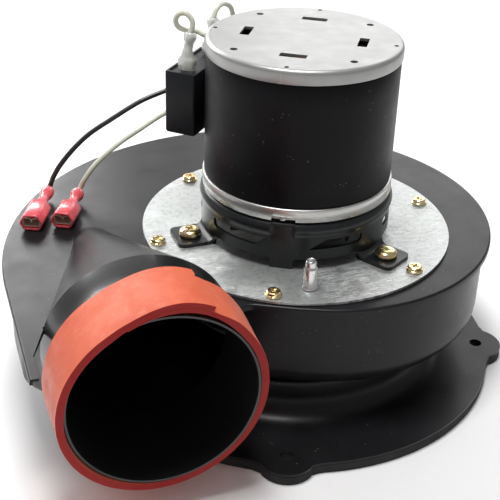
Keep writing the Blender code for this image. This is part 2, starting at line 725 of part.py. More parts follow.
def build_rotor():
    lathe(
        "rotor_shaft", "bright_steel",
        [(0.0, 43.0), (3.4, 43.0), (SHAFT_RADIUS, 43.8), (SHAFT_RADIUS, 153.4),
         (3.4, 154.0), (0.0, 154.0)],
        20, ring=False,
    )
    core = [(4.4, 104.0), (15.0, 104.0), (15.0, 106.0), (22.1, 106.0),
            (22.1, 138.0), (15.0, 138.0), (15.0, 140.0), (4.4, 140.0)]
    lathe("rotor_core", "rotor_aluminium", core, 24)
    blades = [(i * 30.0, i * 30.0 + 3.0) for i in range(12)]

    def fan_filled(radius, angle, z):
        return z > 84.0 or radius < 10.0 or (within(angle, blades) and radius > 10.0)

    polar_cells(
        "cooling_fan", "fan_black", (4.4, 10.0, 37.0),
        breakpoints(blades, 30.0), (73.5, 84.0, 85.3), fan_filled,
        sweep=lambda radius: -0.35 * max(0.0, radius - 10.0),
    )
    vanes = [(i * 15.0, i * 15.0 + 2.4) for i in range(24)]

    def wheel_filled(radius, angle, z):
        if z > 60.3:
            return True
        if radius < 47.0:
            return False
        return z < 37.0 or within(angle, vanes)

    polar_cells(
        "impeller", "wheel_zinc", (9.6, 47.0, 57.0),
        breakpoints(vanes, 30.0), (35.5, 37.0, 60.3, 61.5), wheel_filled,
        sweep=lambda radius: 0.06 * max(0.0, radius - 47.0) ** 2,
    )
    hub = [(4.4, 46.0), (9.0, 46.0), (9.2, 47.0), (9.2, 61.8), (15.0, 61.8),
           (15.0, 63.2), (4.4, 63.2)]
    lathe("impeller_hub", "bright_steel", hub, 24)


# --- capacitor, leads and terminals ------------------------------------------
OUT = Vector((*polar(1.0, CAPACITOR_AT), 0.0))
ALONG = Vector((*polar(1.0, CAPACITOR_AT - 90.0), 0.0))
UP = Vector((0.0, 0.0, 1.0))


def rounded_box(width, depth, corner, steps=4):
    """A rounded rectangle round the origin, the same count for every size."""
    loop = []
    spots = ((1, 1), (-1, 1), (-1, -1), (1, -1))
    for i, (sx, sy) in enumerate(spots):
        centre = (sx * (width / 2 - corner), sy * (depth / 2 - corner))
        loop += arc(corner, 90.0 * i, 90.0 * i + 90.0, steps, centre)
    return loop


def placed(loop, centre, across, upward):
    return [tuple(Vector(centre) + across * a + upward * b) for a, b in loop]


def build_capacitor():
    middle = OUT * (CAPACITOR_FACE + CAPACITOR_THICK / 2)
    skin = Skin()
    rows = []
    for z, shrink in (
        (CAPACITOR_BOTTOM, 1.2), (CAPACITOR_BOTTOM + 0.6, 0.0),
        (CAPACITOR_TOP - 0.6, 0.0), (CAPACITOR_TOP, 1.2),
    ):
        loop = rounded_box(CAPACITOR_LENGTH - shrink, CAPACITOR_THICK - shrink, 1.4, 3)
        rows.append(placed(loop, middle + UP * z, ALONG, OUT))
    skin.rings(rows)
    skin.make("run_capacitor", "case_black")

    # the bracket lies on the shell behind the case and holds its outer side
    half = CAPACITOR_LENGTH / 2 + 0.4
    face = CAPACITOR_FACE + CAPACITOR_THICK + 0.4
    path = [(5.0 - half, face), (half - 1.0, face), (half, face - 1.0), (half, 41.5)]
    for reach in (2.0, 4.0, 6.0, 8.0):
        path.append((half + reach, math.sqrt((SHELL_RADIUS + 0.4) ** 2 - (half + reach) ** 2)))
    outer = inset(path, -0.8)
    skin = Skin()
    corners = []
    for z in BRACKET_HEIGHTS:
        for side in (path, outer):
            corners.append([tuple(ALONG * u + OUT * v + UP * z) for u, v in side])
    inner_low, outer_low, inner_high, outer_high = corners
    skin.between(inner_low, outer_low, closed=False)
    skin.between(inner_high, outer_high, closed=False)
    skin.between(inner_low, inner_high, closed=False)
    skin.between(outer_low, outer_high, closed=False)
    for i in (0, -1):
        skin.face(inner_low[i], outer_low[i], outer_high[i], inner_high[i])
    skin.make("capacitor_bracket", "galvanised")


def sleeve(name, look, mouth, neck, tail, across, size, barrel, bore):
    """An insulated connector: a box body from mouth to neck, then a barrel."""
    mouth, neck, tail = Vector(mouth), Vector(neck), Vector(tail)
    forward = (mouth - neck).normalized()
    lift = across.cross(forward).normalized()
    width, depth = size
    back = (neck - tail).normalized()
    spread = (across - back * across.dot(back)).normalized()
    rise = spread.cross(back).normalized()
    shoulder = neck + forward * 3.0

    def box(centre, w, d, corner):
        return placed(rounded_box(w, d, corner, 3), centre, across, lift)

    def ring(centre, radius):
        return placed(rounded_box(2 * radius, 2 * radius, radius - 0.01, 3), centre,
                      spread, rise)

    rows = [
        ring(tail, barrel), ring(neck, barrel),
        box(shoulder, width, depth, 1.8), box(mouth, width, depth, 1.8),
        box(mouth, width - 1.8, depth - 1.8, 1.2),
        box(shoulder, width - 1.8, depth - 1.8, 1.2),
        ring(neck, bore), ring(tail, bore),
    ]
    skin = Skin()
    skin.rings(rows, closed=True)
    skin.make(name, look)


def receptacle(name, mouth, neck, across, size):
    """The folded metal socket inside a connector's body."""
    mouth, neck = Vector(mouth), Vector(neck)
    forward = (mouth - neck).normalized()
    lift = across.cross(forward).normalized()
    width, depth = size
    rows = []
    for centre, thin in (
        (neck + forward * 5.0, 0.0), (mouth - forward * 1.2, 0.0),
        (mouth - forward * 1.2, 1.4), (neck + forward * 5.0, 1.4),
    ):
        loop = rounded_box(width - thin, depth - thin, 0.45, 3)
        rows.append(placed(loop, centre, across, lift))
    skin = Skin()
    skin.rings(rows, closed=True)
    skin.make(name, "tinned_brass")


def lead(name, look, points, diameter, steps):
    curve = bpy.data.curves.new(name, "CURVE")
    curve.dimensions = "3D"
    curve.bevel_depth = diameter / 2 * MM
    curve.bevel_resolution = 2
    curve.use_fill_caps = True
    spline = curve.splines.new("POLY")
    route = smooth_path(points, steps)
    spline.points.add(len(route) - 1)
    for target, point in zip(spline.points, route):
        target.co = (*(point * MM), 1.0)
    curve.materials.append(material(look))
    made = bpy.data.objects.new(name, curve)
    made.location = AXIS
    bpy.context.scene.collection.objects.link(made)


LEAD_DIAMETER = 2.4
TERMINALS = {
    # mouth, neck and tail of each red connector, lying on the cover
    "black": ((-117.2, 25.8, 69.7), (-109.6, 43.8, 69.7), (-104.4, 55.6, 70.3)),
    "white": ((-103.4, 24.4, 69.7), (-96.0, 39.8, 69.7), (-91.2, 49.6, 70.3)),
}


def build_terminals():
    for key, (mouth, neck, tail) in TERMINALS.items():
        forward = (Vector(mouth) - Vector(neck)).normalized()
        across = forward.cross(UP).normalized()
        sleeve(f"{key}_terminal", "red_nylon", mouth, neck, tail, across,
               (11.0, 7.6), 3.2, 1.6)
        receptacle(f"{key}_receptacle", mouth, neck, across, (7.3, 3.6))
    spots = (("capacitor_terminal_1", -12.0, (1.8, 0.9)), ("capacitor_terminal_2", 12.0, (1.4, 0.8)))
    for name, reach, lean in spots:
        at = OUT * (CAPACITOR_FACE + 6.6) + ALONG * reach
        mouth = at + UP * (CAPACITOR_TOP + 0.3)
        neck = at + UP * 145.0
        tail = at + Vector((lean[0], lean[1], 153.0))
        sleeve(name, "clear_nylon", mouth, neck, tail, ALONG, (8.2, 7.8), 2.9, 1.6)


def build_leads():
    exit_out = Vector((*polar(1.0, GROMMET_AT), 0.0))
    exit_side = Vector((*polar(1.0, GROMMET_AT + 90.0), 0.0))

    def gland(side, rise, reach):
        return exit_out * reach + exit_side * side + UP * (GROMMET_Z + rise)

    for key, gap, route in (
        ("black", (1.6, 1.6), (
            (-14.5, 53.6, 120.0), (-20.5, 59.3, 119.6), (-31.0, 63.0, 116.8),
            (-44.4, 63.7, 111.9), (-57.3, 62.6, 108.0), (-72.5, 61.1, 100.6),
            (-82.8, 60.2, 95.0), (-90.6, 58.6, 89.2), (-97.2, 57.6, 82.4),
            (-101.2, 57.9, 76.0),
        )),
        ("white", (1.6, -1.6), (
            (-14.0, 52.6, 115.0), (-19.5, 57.6, 112.4), (-30.0, 59.8, 107.8),
            (-45.9, 59.4, 102.2), (-58.8, 57.0, 96.3), (-68.8, 55.3, 91.4),
            (-77.0, 53.3, 86.4), (-83.2, 52.1, 81.2), (-87.6, 51.8, 75.4),
        )),
    ):
        mouth, neck, tail = (Vector(p) for p in TERMINALS[key])
        back = (tail - neck).normalized()
        points = [gland(*gap, 43.0), gland(*gap, 49.0)] + [Vector(p) for p in route]
        points += [tail + back * 2.6 + UP * 0.35, tail - back * 2.0, tail - back * 8.0]
        lead(f"{key}_lead", f"lead_{key}", points, LEAD_DIAMETER, 2)

    right = Vector((0.9426, -0.3338, 0.0))
    away = Vector((0.3338, 0.9426, 0.0))
    first = OUT * (CAPACITOR_FACE + 6.6) + ALONG * -12.0
    top = first + Vector((1.8, 0.9, 153.0))
    start = [first + UP * 147.5 + Vector((0.55, 0.27, 0.0)), top]
    loop = (
        (0.9, 0.3, 3.4), (0.9, 0.8, 7.2), (-2.2, 1.4, 10.4), (-6.4, 2.0, 10.0),
        (-8.6, 2.6, 6.2), (-7.4, 3.2, 1.8), (-3.4, 4.2, -0.4), (1.8, 6.6, -1.6),
    )
    points = start + [top + right * h + away * d + UP * z for h, d, z in loop]
    points += [Vector((*polar(44.9, 140.0), 149.6)), Vector((*polar(45.0, 131.0), 148.6))]
    points += [Vector((*polar(46.4, 120.0), 147.0)), Vector((*polar(49.0, 112.0), 141.0))]
    points += [Vector((*polar(51.6, 107.6), 132.0)), Vector((*polar(51.4, 105.4), 124.4))]
    points += [gland(-1.6, 1.6, 49.4), gland(-1.6, 1.6, 43.0)]
    lead("capacitor_lead_1", "lead_white", points, LEAD_DIAMETER, 2)

    second = OUT * (CAPACITOR_FACE + 6.6) + ALONG * 12.0
    top = second + Vector((1.4, 0.8, 153.0))
    points = [second + UP * 147.5 + Vector((0.45, 0.25, 0.0)), top]
    points += [top + Vector((1.6, 1.2, 3.4)), top + Vector((5.2, 3.4, 5.0))]
    points += [top + Vector((9.6, 6.0, 2.6)), top + Vector((12.2, 8.0, -4.0))]
    points += [Vector((*polar(54.4, 101.6), 139.0)), Vector((*polar(55.4, 101.2), 127.0))]
    points += [Vector((*polar(54.0, 102.2), 119.4)), gland(-1.6, -1.6, 49.4)]
    points += [gland(-1.6, -1.6, 43.0)]
    lead("capacitor_lead_2", "lead_white", points, LEAD_DIAMETER, 2)


for leftover in list(bpy.data.objects):
    bpy.data.objects.remove(leftover)
build_flange()
build_housing()
build_cover()
build_outlet()
build_motor_plate()
build_cage()
build_motor_body()
build_motor_inside()
build_rotor()
build_capacitor()
build_terminals()
build_leads()
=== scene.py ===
import json
import math

import bmesh
import bpy
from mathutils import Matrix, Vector, noise
from mathutils.geometry import tessellate_polygon


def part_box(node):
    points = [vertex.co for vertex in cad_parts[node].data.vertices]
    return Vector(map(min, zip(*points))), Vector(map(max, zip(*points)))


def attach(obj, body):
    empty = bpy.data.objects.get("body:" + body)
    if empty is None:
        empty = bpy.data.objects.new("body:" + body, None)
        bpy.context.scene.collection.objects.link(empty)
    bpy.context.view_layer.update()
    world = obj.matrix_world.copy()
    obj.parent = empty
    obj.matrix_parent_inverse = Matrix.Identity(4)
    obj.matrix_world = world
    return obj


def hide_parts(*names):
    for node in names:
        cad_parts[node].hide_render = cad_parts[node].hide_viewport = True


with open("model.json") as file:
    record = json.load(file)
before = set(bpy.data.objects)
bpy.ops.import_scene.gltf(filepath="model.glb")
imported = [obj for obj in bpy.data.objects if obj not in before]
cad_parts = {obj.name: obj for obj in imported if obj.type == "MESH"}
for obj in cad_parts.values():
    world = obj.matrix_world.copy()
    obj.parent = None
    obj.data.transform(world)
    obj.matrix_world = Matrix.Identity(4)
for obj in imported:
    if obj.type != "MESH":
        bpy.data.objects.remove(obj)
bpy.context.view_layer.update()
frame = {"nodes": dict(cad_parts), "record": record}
MM = 0.001

# Every size below is in millimetres and every place is measured from the
# motor's axis, with z = 0 at the underside of the flange gasket.


def span(node, side):
    """(low, high) of a CAD node along one side of the frame, in millimetres."""
    low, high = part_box(node)
    return low[side] / MM, high[side] / MM


def middle(node):
    return tuple(sum(span(node, side)) / 2 * MM for side in (0, 1))


AXIS = Vector((*middle("motor_shell"), 0.0))
GASKET_TOP = span("flange_gasket", 2)[1]
FLANGE_BOTTOM, FLANGE_TOP = GASKET_TOP + 0.3, GASKET_TOP + 1.4
FLOOR_Z, WALL_TOP = 23.0, span("scroll_housing", 2)[1]
PLATE_BOTTOM, PLATE_TOP = span("motor_plate", 2)
COVER_TOP = PLATE_BOTTOM - 0.3
CAGE_BOTTOM, CAGE_TOP = span("motor_cage", 2)
BAND_BOTTOM, BAND_TOP = span("lower_band", 2)[0], 95.1
SHELL_BOTTOM, SHELL_TOP = span("motor_shell", 2)
CAP_BOTTOM, CAP_TOP = 149.9, span("top_cap", 2)[1]

DISC_RADIUS = 96.6
EAR_ANGLES = (-110.5, -21.7, 68.0, 158.0)
EAR_CENTRE, EAR_RADIUS, EAR_HOLE = 92.0, 12.0, 2.9
NECK_RADIUS, NECK_FILLET = 64.0, 10.0

SPIRAL_X, SPIRAL_Y = 3.07, 0.89
SPIRAL_START, SPIRAL_GROWTH = 93.13, 0.1221
SPIRAL_FROM, SPIRAL_TO, SPIRAL_STEPS = 187.0, -107.0, 147
LEFT_EDGE, HEM_END = -134.6, -85.6
LIP_INSET, LIP_DEPTH, SHEET = 2.5, 2.6, 1.2
FLOOR_ROUND = 10.0
INLET_RADIUS, INLET_MOUTH = 50.0, 43.5
COVER_OPENING = 60.0

OUTLET_X, OUTLET_Z = -86.6, 52.4
PIPE_RADIUS, PIPE_WALL = 38.1, 1.0
PIPE_END, JUNCTION_Y = -95.9, -53.6
JUNCTION_RADIUS = 39.9
UPPER_APEX, LOWER_APEX, APEX_RADIUS = (-92.0, 15.0), (-90.0, 6.0), 7.5
STRIP_FRONT, STRIP_REAR = -97.15, -73.0
STRIP_TILT_X, STRIP_TILT_Z = 1.84, -1.37
STRIP_INNER, STRIP_THICK, STRIP_FLARE = 38.5, 3.1, 0.7
STRIP_GAP, STRIP_GAP_AT, STRIP_GAP_REACH = 2.2, 78.0, 45.0
STRIP_START, STRIP_RIDE = 111.0, 12.0
LAP_INNER, LAP_OUTER, LAP_END, LAP_SPACE = 2.0, 2.1, 51.5, 0.12
FEATHER_THICK, FEATHER_REACH = 0.35, 30.0

PLATE_CENTRE, PLATE_RADIUS = (0.87, 0.39), 70.6
PLATE_SCREW_CIRCLE, PLATE_SCREW_AT = 65.4, 2.0
MOUNT_SCREW_CIRCLE, MOUNT_SCREW_AT = 50.5, 62.0
TAP_AT = (-14.1, -56.1)
CAGE_RADIUS = 43.0
BAND_RADIUS, SHELL_RADIUS, CAP_RADIUS = 42.6, 41.9, 42.4
CAPACITOR_AT, CAPACITOR_FACE, CAPACITOR_THICK = 138.0, 42.6, 14.6
CAPACITOR_LENGTH = 37.0
TERMINAL_OUT, TERMINAL_NECK, TERMINAL_TAIL = CAPACITOR_FACE + 6.6, 145.0, 153.0
# how far along the case each terminal stands, and how its tail leans
CAPACITOR_PINS = ((-12.0, (1.8, 0.9)), (12.0, (1.4, 0.8)))
CAPACITOR_BOTTOM, CAPACITOR_TOP = span("run_capacitor", 2)
BRACKET_HEIGHTS = span("capacitor_bracket", 2)
GROMMET_AT = 104.0
GROMMET_Z = sum(span("lead_grommet", 2)) / 2
LEAD_DIAMETER = 2.4
SCREW_SIDES, SCREW_FLOOR = 48, 60.0
WINDOW_LOW, WINDOW_HIGH, STRAP_LOW = 76.6, 81.0, 71.7
WINDOW_ROUND = (WINDOW_HIGH - WINDOW_LOW) / 2
PLAIN_FOOT, FOOT_ROUND = -118.25, 1.3
# the (first, last) degrees of the three feet in each third of the cage
FEET = ((-6.75, 6.75), (48.45, 72.05), (-71.55, -47.95))
PER_DEGREE = CAGE_RADIUS * math.radians(1.0)
NOTCH_FROM, NOTCH_TO, NOTCH_DEEP, DIMPLE_AT = -125.2, -111.2, 2.2, -118.6
CAP_UNDER = CAP_TOP - 1.2
SEAT_INNER, SEAT_OUTER = 11.0, 12.6


# --- plane geometry ----------------------------------------------------------
def polar(radius, degrees, centre=(0.0, 0.0)):
    angle = math.radians(degrees)
    return (centre[0] + radius * math.cos(angle), centre[1] + radius * math.sin(angle))


def circle(radius, count, centre=(0.0, 0.0), start=0.0):
    return [polar(radius, start + 360.0 * i / count, centre) for i in range(count)]


def arc(radius, first, last, count, centre=(0.0, 0.0)):
    step = (last - first) / (count - 1)
    return [polar(radius, first + step * i, centre) for i in range(count)]


def inset(path, distance):
    """The open path moved to its right-hand side."""
    moved = []
    for i, point in enumerate(path):
        before = Vector(path[max(i - 1, 0)])
        after = Vector(path[min(i + 1, len(path) - 1)])
        along = (after - before).normalized()
        moved.append((point[0] + along.y * distance, point[1] - along.x * distance))
    return moved


def lerp(a, b, share):
    return tuple(p + (q - p) * share for p, q in zip(a, b))


def smooth(share):
    share = min(1.0, max(0.0, share))
    return share * share * (3.0 - 2.0 * share)


def quarter(steps, first=0):
    """(sine, cosine) at each step of a quarter turn."""
    turns = [math.radians(90.0 * i / steps) for i in range(first, steps + 1)]
    return [(math.sin(turn), math.cos(turn)) for turn in turns]


def flat(loop, z):
    return [(x, y, z) for x, y in loop]


def turned_row(radius, angles, heights):
    return [(*polar(radius, angle), z) for angle, z in zip(angles, heights)]


def smooth_path(points, count):
    """A curve through the points, with this many steps between each two."""
    padded = [points[0]] + list(points) + [points[-1]]
    curve = []
    for i in range(1, len(padded) - 2):
        a, b, c, d = (Vector(p) for p in padded[i - 1 : i + 3])
        for k in range(count):
            t = k / count
            curve.append(
                0.5 * (2 * b + (c - a) * t + (2 * a - 5 * b + 4 * c - d) * t * t
                       + (3 * b - 3 * c + d - a) * t * t * t)
            )
    curve.append(Vector(points[-1]))
    return curve


def junction(degrees, y=JUNCTION_Y, radius=JUNCTION_RADIUS):
    """A point of a circle round the outlet's axis."""
    x, z = polar(radius, degrees, (OUTLET_X, OUTLET_Z))
    return (x, y, z)


PLATE_SCREWS = [polar(PLATE_SCREW_CIRCLE, PLATE_SCREW_AT + 60.0 * i) for i in range(6)]
MOUNT_TURNS = [MOUNT_SCREW_AT + 120.0 * i for i in range(3)]
MOUNT_SCREWS = [polar(MOUNT_SCREW_CIRCLE, turn) for turn in MOUNT_TURNS]


# --- materials ---------------------------------------------------------------
class Finish:
    """A Principled material whose colour, roughness and bump come from noise."""

    def __init__(self, name):
        self.material = bpy.data.materials.new(name)
        self.material.use_nodes = True
        self.tree = self.material.node_tree
        self.shader = self.tree.nodes["Principled BSDF"]
        self.place = self.node("ShaderNodeTexCoord").outputs["Object"]

    def node(self, kind, **settings):
        made = self.tree.nodes.new(kind)
        for key, value in settings.items():
            setattr(made, key, value)
        return made

    def link(self, source, target):
        self.tree.links.new(source, target)

    def set(self, **values):
        names = {
            "metal": "Metallic", "ior": "IOR", "coat": "Coat Weight",
            "coat_rough": "Coat Roughness", "through": "Transmission Weight",
            "soft": "Subsurface Weight", "soft_scale": "Subsurface Scale",
            "sheen": "Sheen Weight", "alpha": "Alpha",
        }
        for key, value in values.items():
            self.shader.inputs[names[key]].default_value = value
        return self

    def noise(self, scale, detail=3.0, rough=0.55, turn=None, stretch=None):
        place = self.place
        if turn or stretch:
            mapping = self.node("ShaderNodeMapping")
            self.link(place, mapping.inputs["Vector"])
            mapping.inputs["Rotation"].default_value = turn or (0.0, 0.0, 0.0)
            mapping.inputs["Scale"].default_value = stretch or (1.0, 1.0, 1.0)
            place = mapping.outputs["Vector"]
        made = self.node("ShaderNodeTexNoise")
        self.link(place, made.inputs["Vector"])
        made.inputs["Scale"].default_value = scale
        made.inputs["Detail"].default_value = detail
        made.inputs["Roughness"].default_value = rough
        return made.outputs["Fac"]

    def band(self, source, low, high, to_low=0.0, to_high=1.0):
        made = self.node("ShaderNodeMapRange")
        self.link(source, made.inputs["Value"])
        for key, value in zip(("From Min", "From Max", "To Min", "To Max"),
                              (low, high, to_low, to_high)):
            made.inputs[key].default_value = value
        return made.outputs["Result"]

    def combine(self, operation, first, second):
        made = self.node("ShaderNodeMath", operation=operation, use_clamp=operation == "ADD")
        for socket, value in zip(made.inputs, (first, second)):
            if isinstance(value, float):
                socket.default_value = value
            else:
                self.link(value, socket)
        return made.outputs[0]

    def most(self, first, second):
        return self.combine("MAXIMUM", first, second)

    def times(self, first, second):
        return self.combine("MULTIPLY", first, second)

    def plus(self, first, second):
        return self.combine("ADD", first, second)

    def blend(self, share, first, second):
        """A colour between two; each is a colour or another colour's socket."""
        made = self.node("ShaderNodeMix", data_type="RGBA")
        self.link(share, made.inputs["Factor"])
        for key, value in ((6, first), (7, second)):
            if isinstance(value, tuple):
                made.inputs[key].default_value = (*value, 1.0)
            else:
                self.link(value, made.inputs[key])
        return made.outputs[2]

    def specks(self, scale, size):
        """Small separate dots, such as dust."""
        made = self.node("ShaderNodeTexVoronoi")
        self.link(self.place, made.inputs["Vector"])
        made.inputs["Scale"].default_value = scale
        near = self.band(made.outputs["Distance"], size, size * 0.6)
        few = self.band(self.noise(scale * 0.35, 1.0), 0.60, 0.66)
        return self.times(near, few)

    def scratches(self, scale, angle, amount=0.63, axis=2):
        """Fine straight marks that run one way."""
        turn = [0.0, 0.0, 0.0]
        turn[axis] = math.radians(angle)
        thin = self.noise(scale, 2.0, 0.5, tuple(turn), (1.0, 26.0, 1.0))
        broken = self.band(self.noise(scale * 0.8, 2.0), 0.42, 0.58)
        return self.times(self.band(thin, amount, amount + 0.05), broken)

    def colour(self, source):
        self.link(source, self.shader.inputs["Base Color"])
        return self

    def rough(self, source):
        self.link(source, self.shader.inputs["Roughness"])
        return self

    def bump(self, *layers):
        """Each layer is (height socket, depth in millimetres)."""
        normal = None
        for height, depth in layers:
            made = self.node("ShaderNodeBump")
            made.inputs["Strength"].default_value = 1.0
            made.inputs["Distance"].default_value = depth * MM
            self.link(height, made.inputs["Height"])
            if normal:
                self.link(normal, made.inputs["Normal"])
            normal = made.outputs["Normal"]
        self.link(normal, self.shader.inputs["Normal"])
        return self.material


def paint(name, dark, light, rough, peel=0.012, dust=0.0, **values):
    """Sprayed paint on sheet metal: slight orange peel, dust and rubbed marks."""
    finish = Finish(name).set(**values)
    base = finish.blend(finish.band(finish.noise(28.0, 4.0), 0.35, 0.65), dark, light)
    if dust:
        spots = finish.times(finish.specks(520.0, 0.20), dust)
        base = finish.blend(spots, base, (0.42, 0.42, 0.41))
    finish.colour(base)
    cloud = finish.band(finish.noise(60.0, 5.0, 0.6), 0.3, 0.7, *rough)
    rub = finish.times(finish.scratches(120.0, 35.0, 0.66), 0.12)
    finish.rough(finish.plus(cloud, rub))
    return finish.bump((finish.noise(900.0, 2.0), peel), (finish.noise(90.0, 2.0), 0.03))


def plated(name, dark, light, rough, spangle=26.0, marks=(), peel=0.004, **values):
    """Zinc or nickel on steel: clouded plating with handling scratches."""
    finish = Finish(name).set(**{"metal": 1.0, **values})
    cloud = finish.band(finish.noise(spangle, 3.0, 0.6), 0.35, 0.65)
    base = finish.blend(cloud, dark, light)
    rub = None
    for scale, angle, amount in marks:
        made = finish.scratches(scale, angle, amount)
        rub = finish.most(rub, made) if rub else made
    roughness = finish.band(finish.noise(spangle * 6.0, 4.0), 0.3, 0.7, *rough)
    if rub:
        base = finish.blend(finish.times(rub, 0.55), base, (0.92, 0.93, 0.93))
        roughness = finish.plus(roughness, finish.times(rub, 0.22))
    finish.colour(base)
    finish.rough(roughness)
    layers = [(finish.noise(spangle * 30.0, 2.0), peel)]
    if rub:
        layers.append((rub, -0.012))
    return finish.bump(*layers)


def moulded(name, dark, light, rough, peel=0.01, scale=45.0, **values):
    """Moulded plastic or rubber with a fine texture."""
    finish = Finish(name).set(**values)
    finish.colour(finish.blend(finish.band(finish.noise(scale, 4.0), 0.3, 0.7), dark, light))
    finish.rough(finish.band(finish.noise(scale * 3.0, 3.0), 0.3, 0.7, *rough))
    return finish.bump((finish.noise(1400.0, 3.0), peel), (finish.noise(150.0, 2.0), peel * 2))


def galvanised_plate():
    """Bright zinc sheet: spangle, cross-hatched scuffs and a few long scratches."""
    finish = Finish("galvanised_plate_bright").set(metal=0.7)
    crystals = finish.node("ShaderNodeTexVoronoi")
    finish.link(finish.place, crystals.inputs["Vector"])
    crystals.inputs["Scale"].default_value = 150.0
    grey = finish.node("ShaderNodeSeparateColor")
    finish.link(crystals.outputs["Color"], grey.inputs["Color"])
    spangle = finish.band(grey.outputs["Red"], 0.0, 1.0, 0.35, 0.65)
    base = finish.blend(spangle, (0.47, 0.49, 0.48), (0.55, 0.57, 0.56))
    cloud = finish.band(finish.noise(22.0, 5.0, 0.65), 0.42, 0.62)
    base = finish.blend(cloud, base, (0.53, 0.54, 0.53))
    rub = finish.scratches(130.0, 62.0, 0.55)
    for scale, angle, amount in ((150.0, -28.0, 0.55), (95.0, 12.0, 0.60), (220.0, 100.0, 0.58)):
        rub = finish.most(rub, finish.scratches(scale, angle, amount))
    patch = finish.band(finish.noise(16.0, 2.0), 0.34, 0.50)
    rub = finish.times(rub, patch)
    grime = finish.band(finish.noise(420.0, 5.0, 0.7), 0.50, 0.62, 0.0, 0.45)
    base = finish.blend(grime, base, (0.26, 0.28, 0.25))
    base = finish.blend(rub, base, (0.84, 0.85, 0.84))
    finish.colour(base)
    cloudy = finish.band(finish.noise(70.0, 4.0), 0.3, 0.7, 0.36, 0.42)
    finish.rough(finish.plus(cloudy, finish.times(rub, 0.25)))
    return finish.bump((finish.noise(700.0, 3.0), 0.010), (grey.outputs["Green"], 0.008),
                       (rub, -0.05))


def iridescent_zinc():
    """Yellow chromate plating: gold that drifts to pink and green."""
    finish = Finish("yellow_zinc_iridescent").set(metal=1.0)
    gold = finish.blend(finish.band(finish.noise(260.0, 3.0), 0.35, 0.65),
                        (0.86, 0.66, 0.30), (0.93, 0.82, 0.52))
    pink = finish.blend(finish.band(finish.noise(420.0, 2.0), 0.52, 0.66), gold,
                        (0.86, 0.55, 0.44))
    finish.colour(finish.blend(finish.band(finish.noise(330.0, 2.0), 0.30, 0.40),
                               (0.62, 0.66, 0.34), pink))
    finish.rough(finish.band(finish.noise(500.0, 3.0), 0.3, 0.7, 0.12, 0.30))
    return finish.bump((finish.noise(1500.0, 2.0), 0.006))


def silicone():
    """Orange-red silicone sheet: matte, with a fine powdery mottle; faces turned to the front carry
    a painted shade of deep dark red.
    """
    finish = Finish("silicone_red_orange").set(soft=0.12, soft_scale=0.002, sheen=0.08, ior=1.34)
    base = finish.blend(finish.band(finish.noise(38.0, 5.0, 0.6), 0.35, 0.65),
                        (0.64, 0.105, 0.046), (0.74, 0.150, 0.070))
    bloom = finish.band(finish.noise(210.0, 4.0, 0.7), 0.48, 0.74, 0.0, 0.30)
    base = finish.blend(bloom, base, (0.84, 0.30, 0.18))
    facing = finish.node("ShaderNodeSeparateXYZ")
    coordinates = finish.node("ShaderNodeTexCoord")
    finish.link(coordinates.outputs["Normal"], facing.inputs["Vector"])
    # painted shade: faces turned towards the front (-y) are coloured a deep dark red
    front_painted_shade = finish.band(facing.outputs["Y"], -0.55, -0.90)
    finish.colour(finish.blend(front_painted_shade, base, (0.34, 0.006, 0.004)))
    finish.rough(finish.band(finish.noise(120.0, 3.0), 0.3, 0.7, 0.42, 0.62))
    return finish.bump((finish.noise(800.0, 4.0, 0.7), 0.02), (finish.noise(60.0, 2.0), 0.10))


def clear_plastic(name, tint, through, rough):
    """Translucent nylon, clouded by its moulding."""
    finish = Finish(name).set(through=through, ior=1.5, coat=0.4, coat_rough=0.06)
    pale = tuple(min(1.0, value * 1.25 + 0.02) for value in tint)
    finish.colour(finish.blend(finish.band(finish.noise(160.0, 3.0), 0.3, 0.7), tint, pale))
    finish.rough(finish.band(finish.noise(240.0, 3.0), 0.3, 0.7, *rough))
    return finish.bump((finish.noise(420.0, 3.0), 0.03))


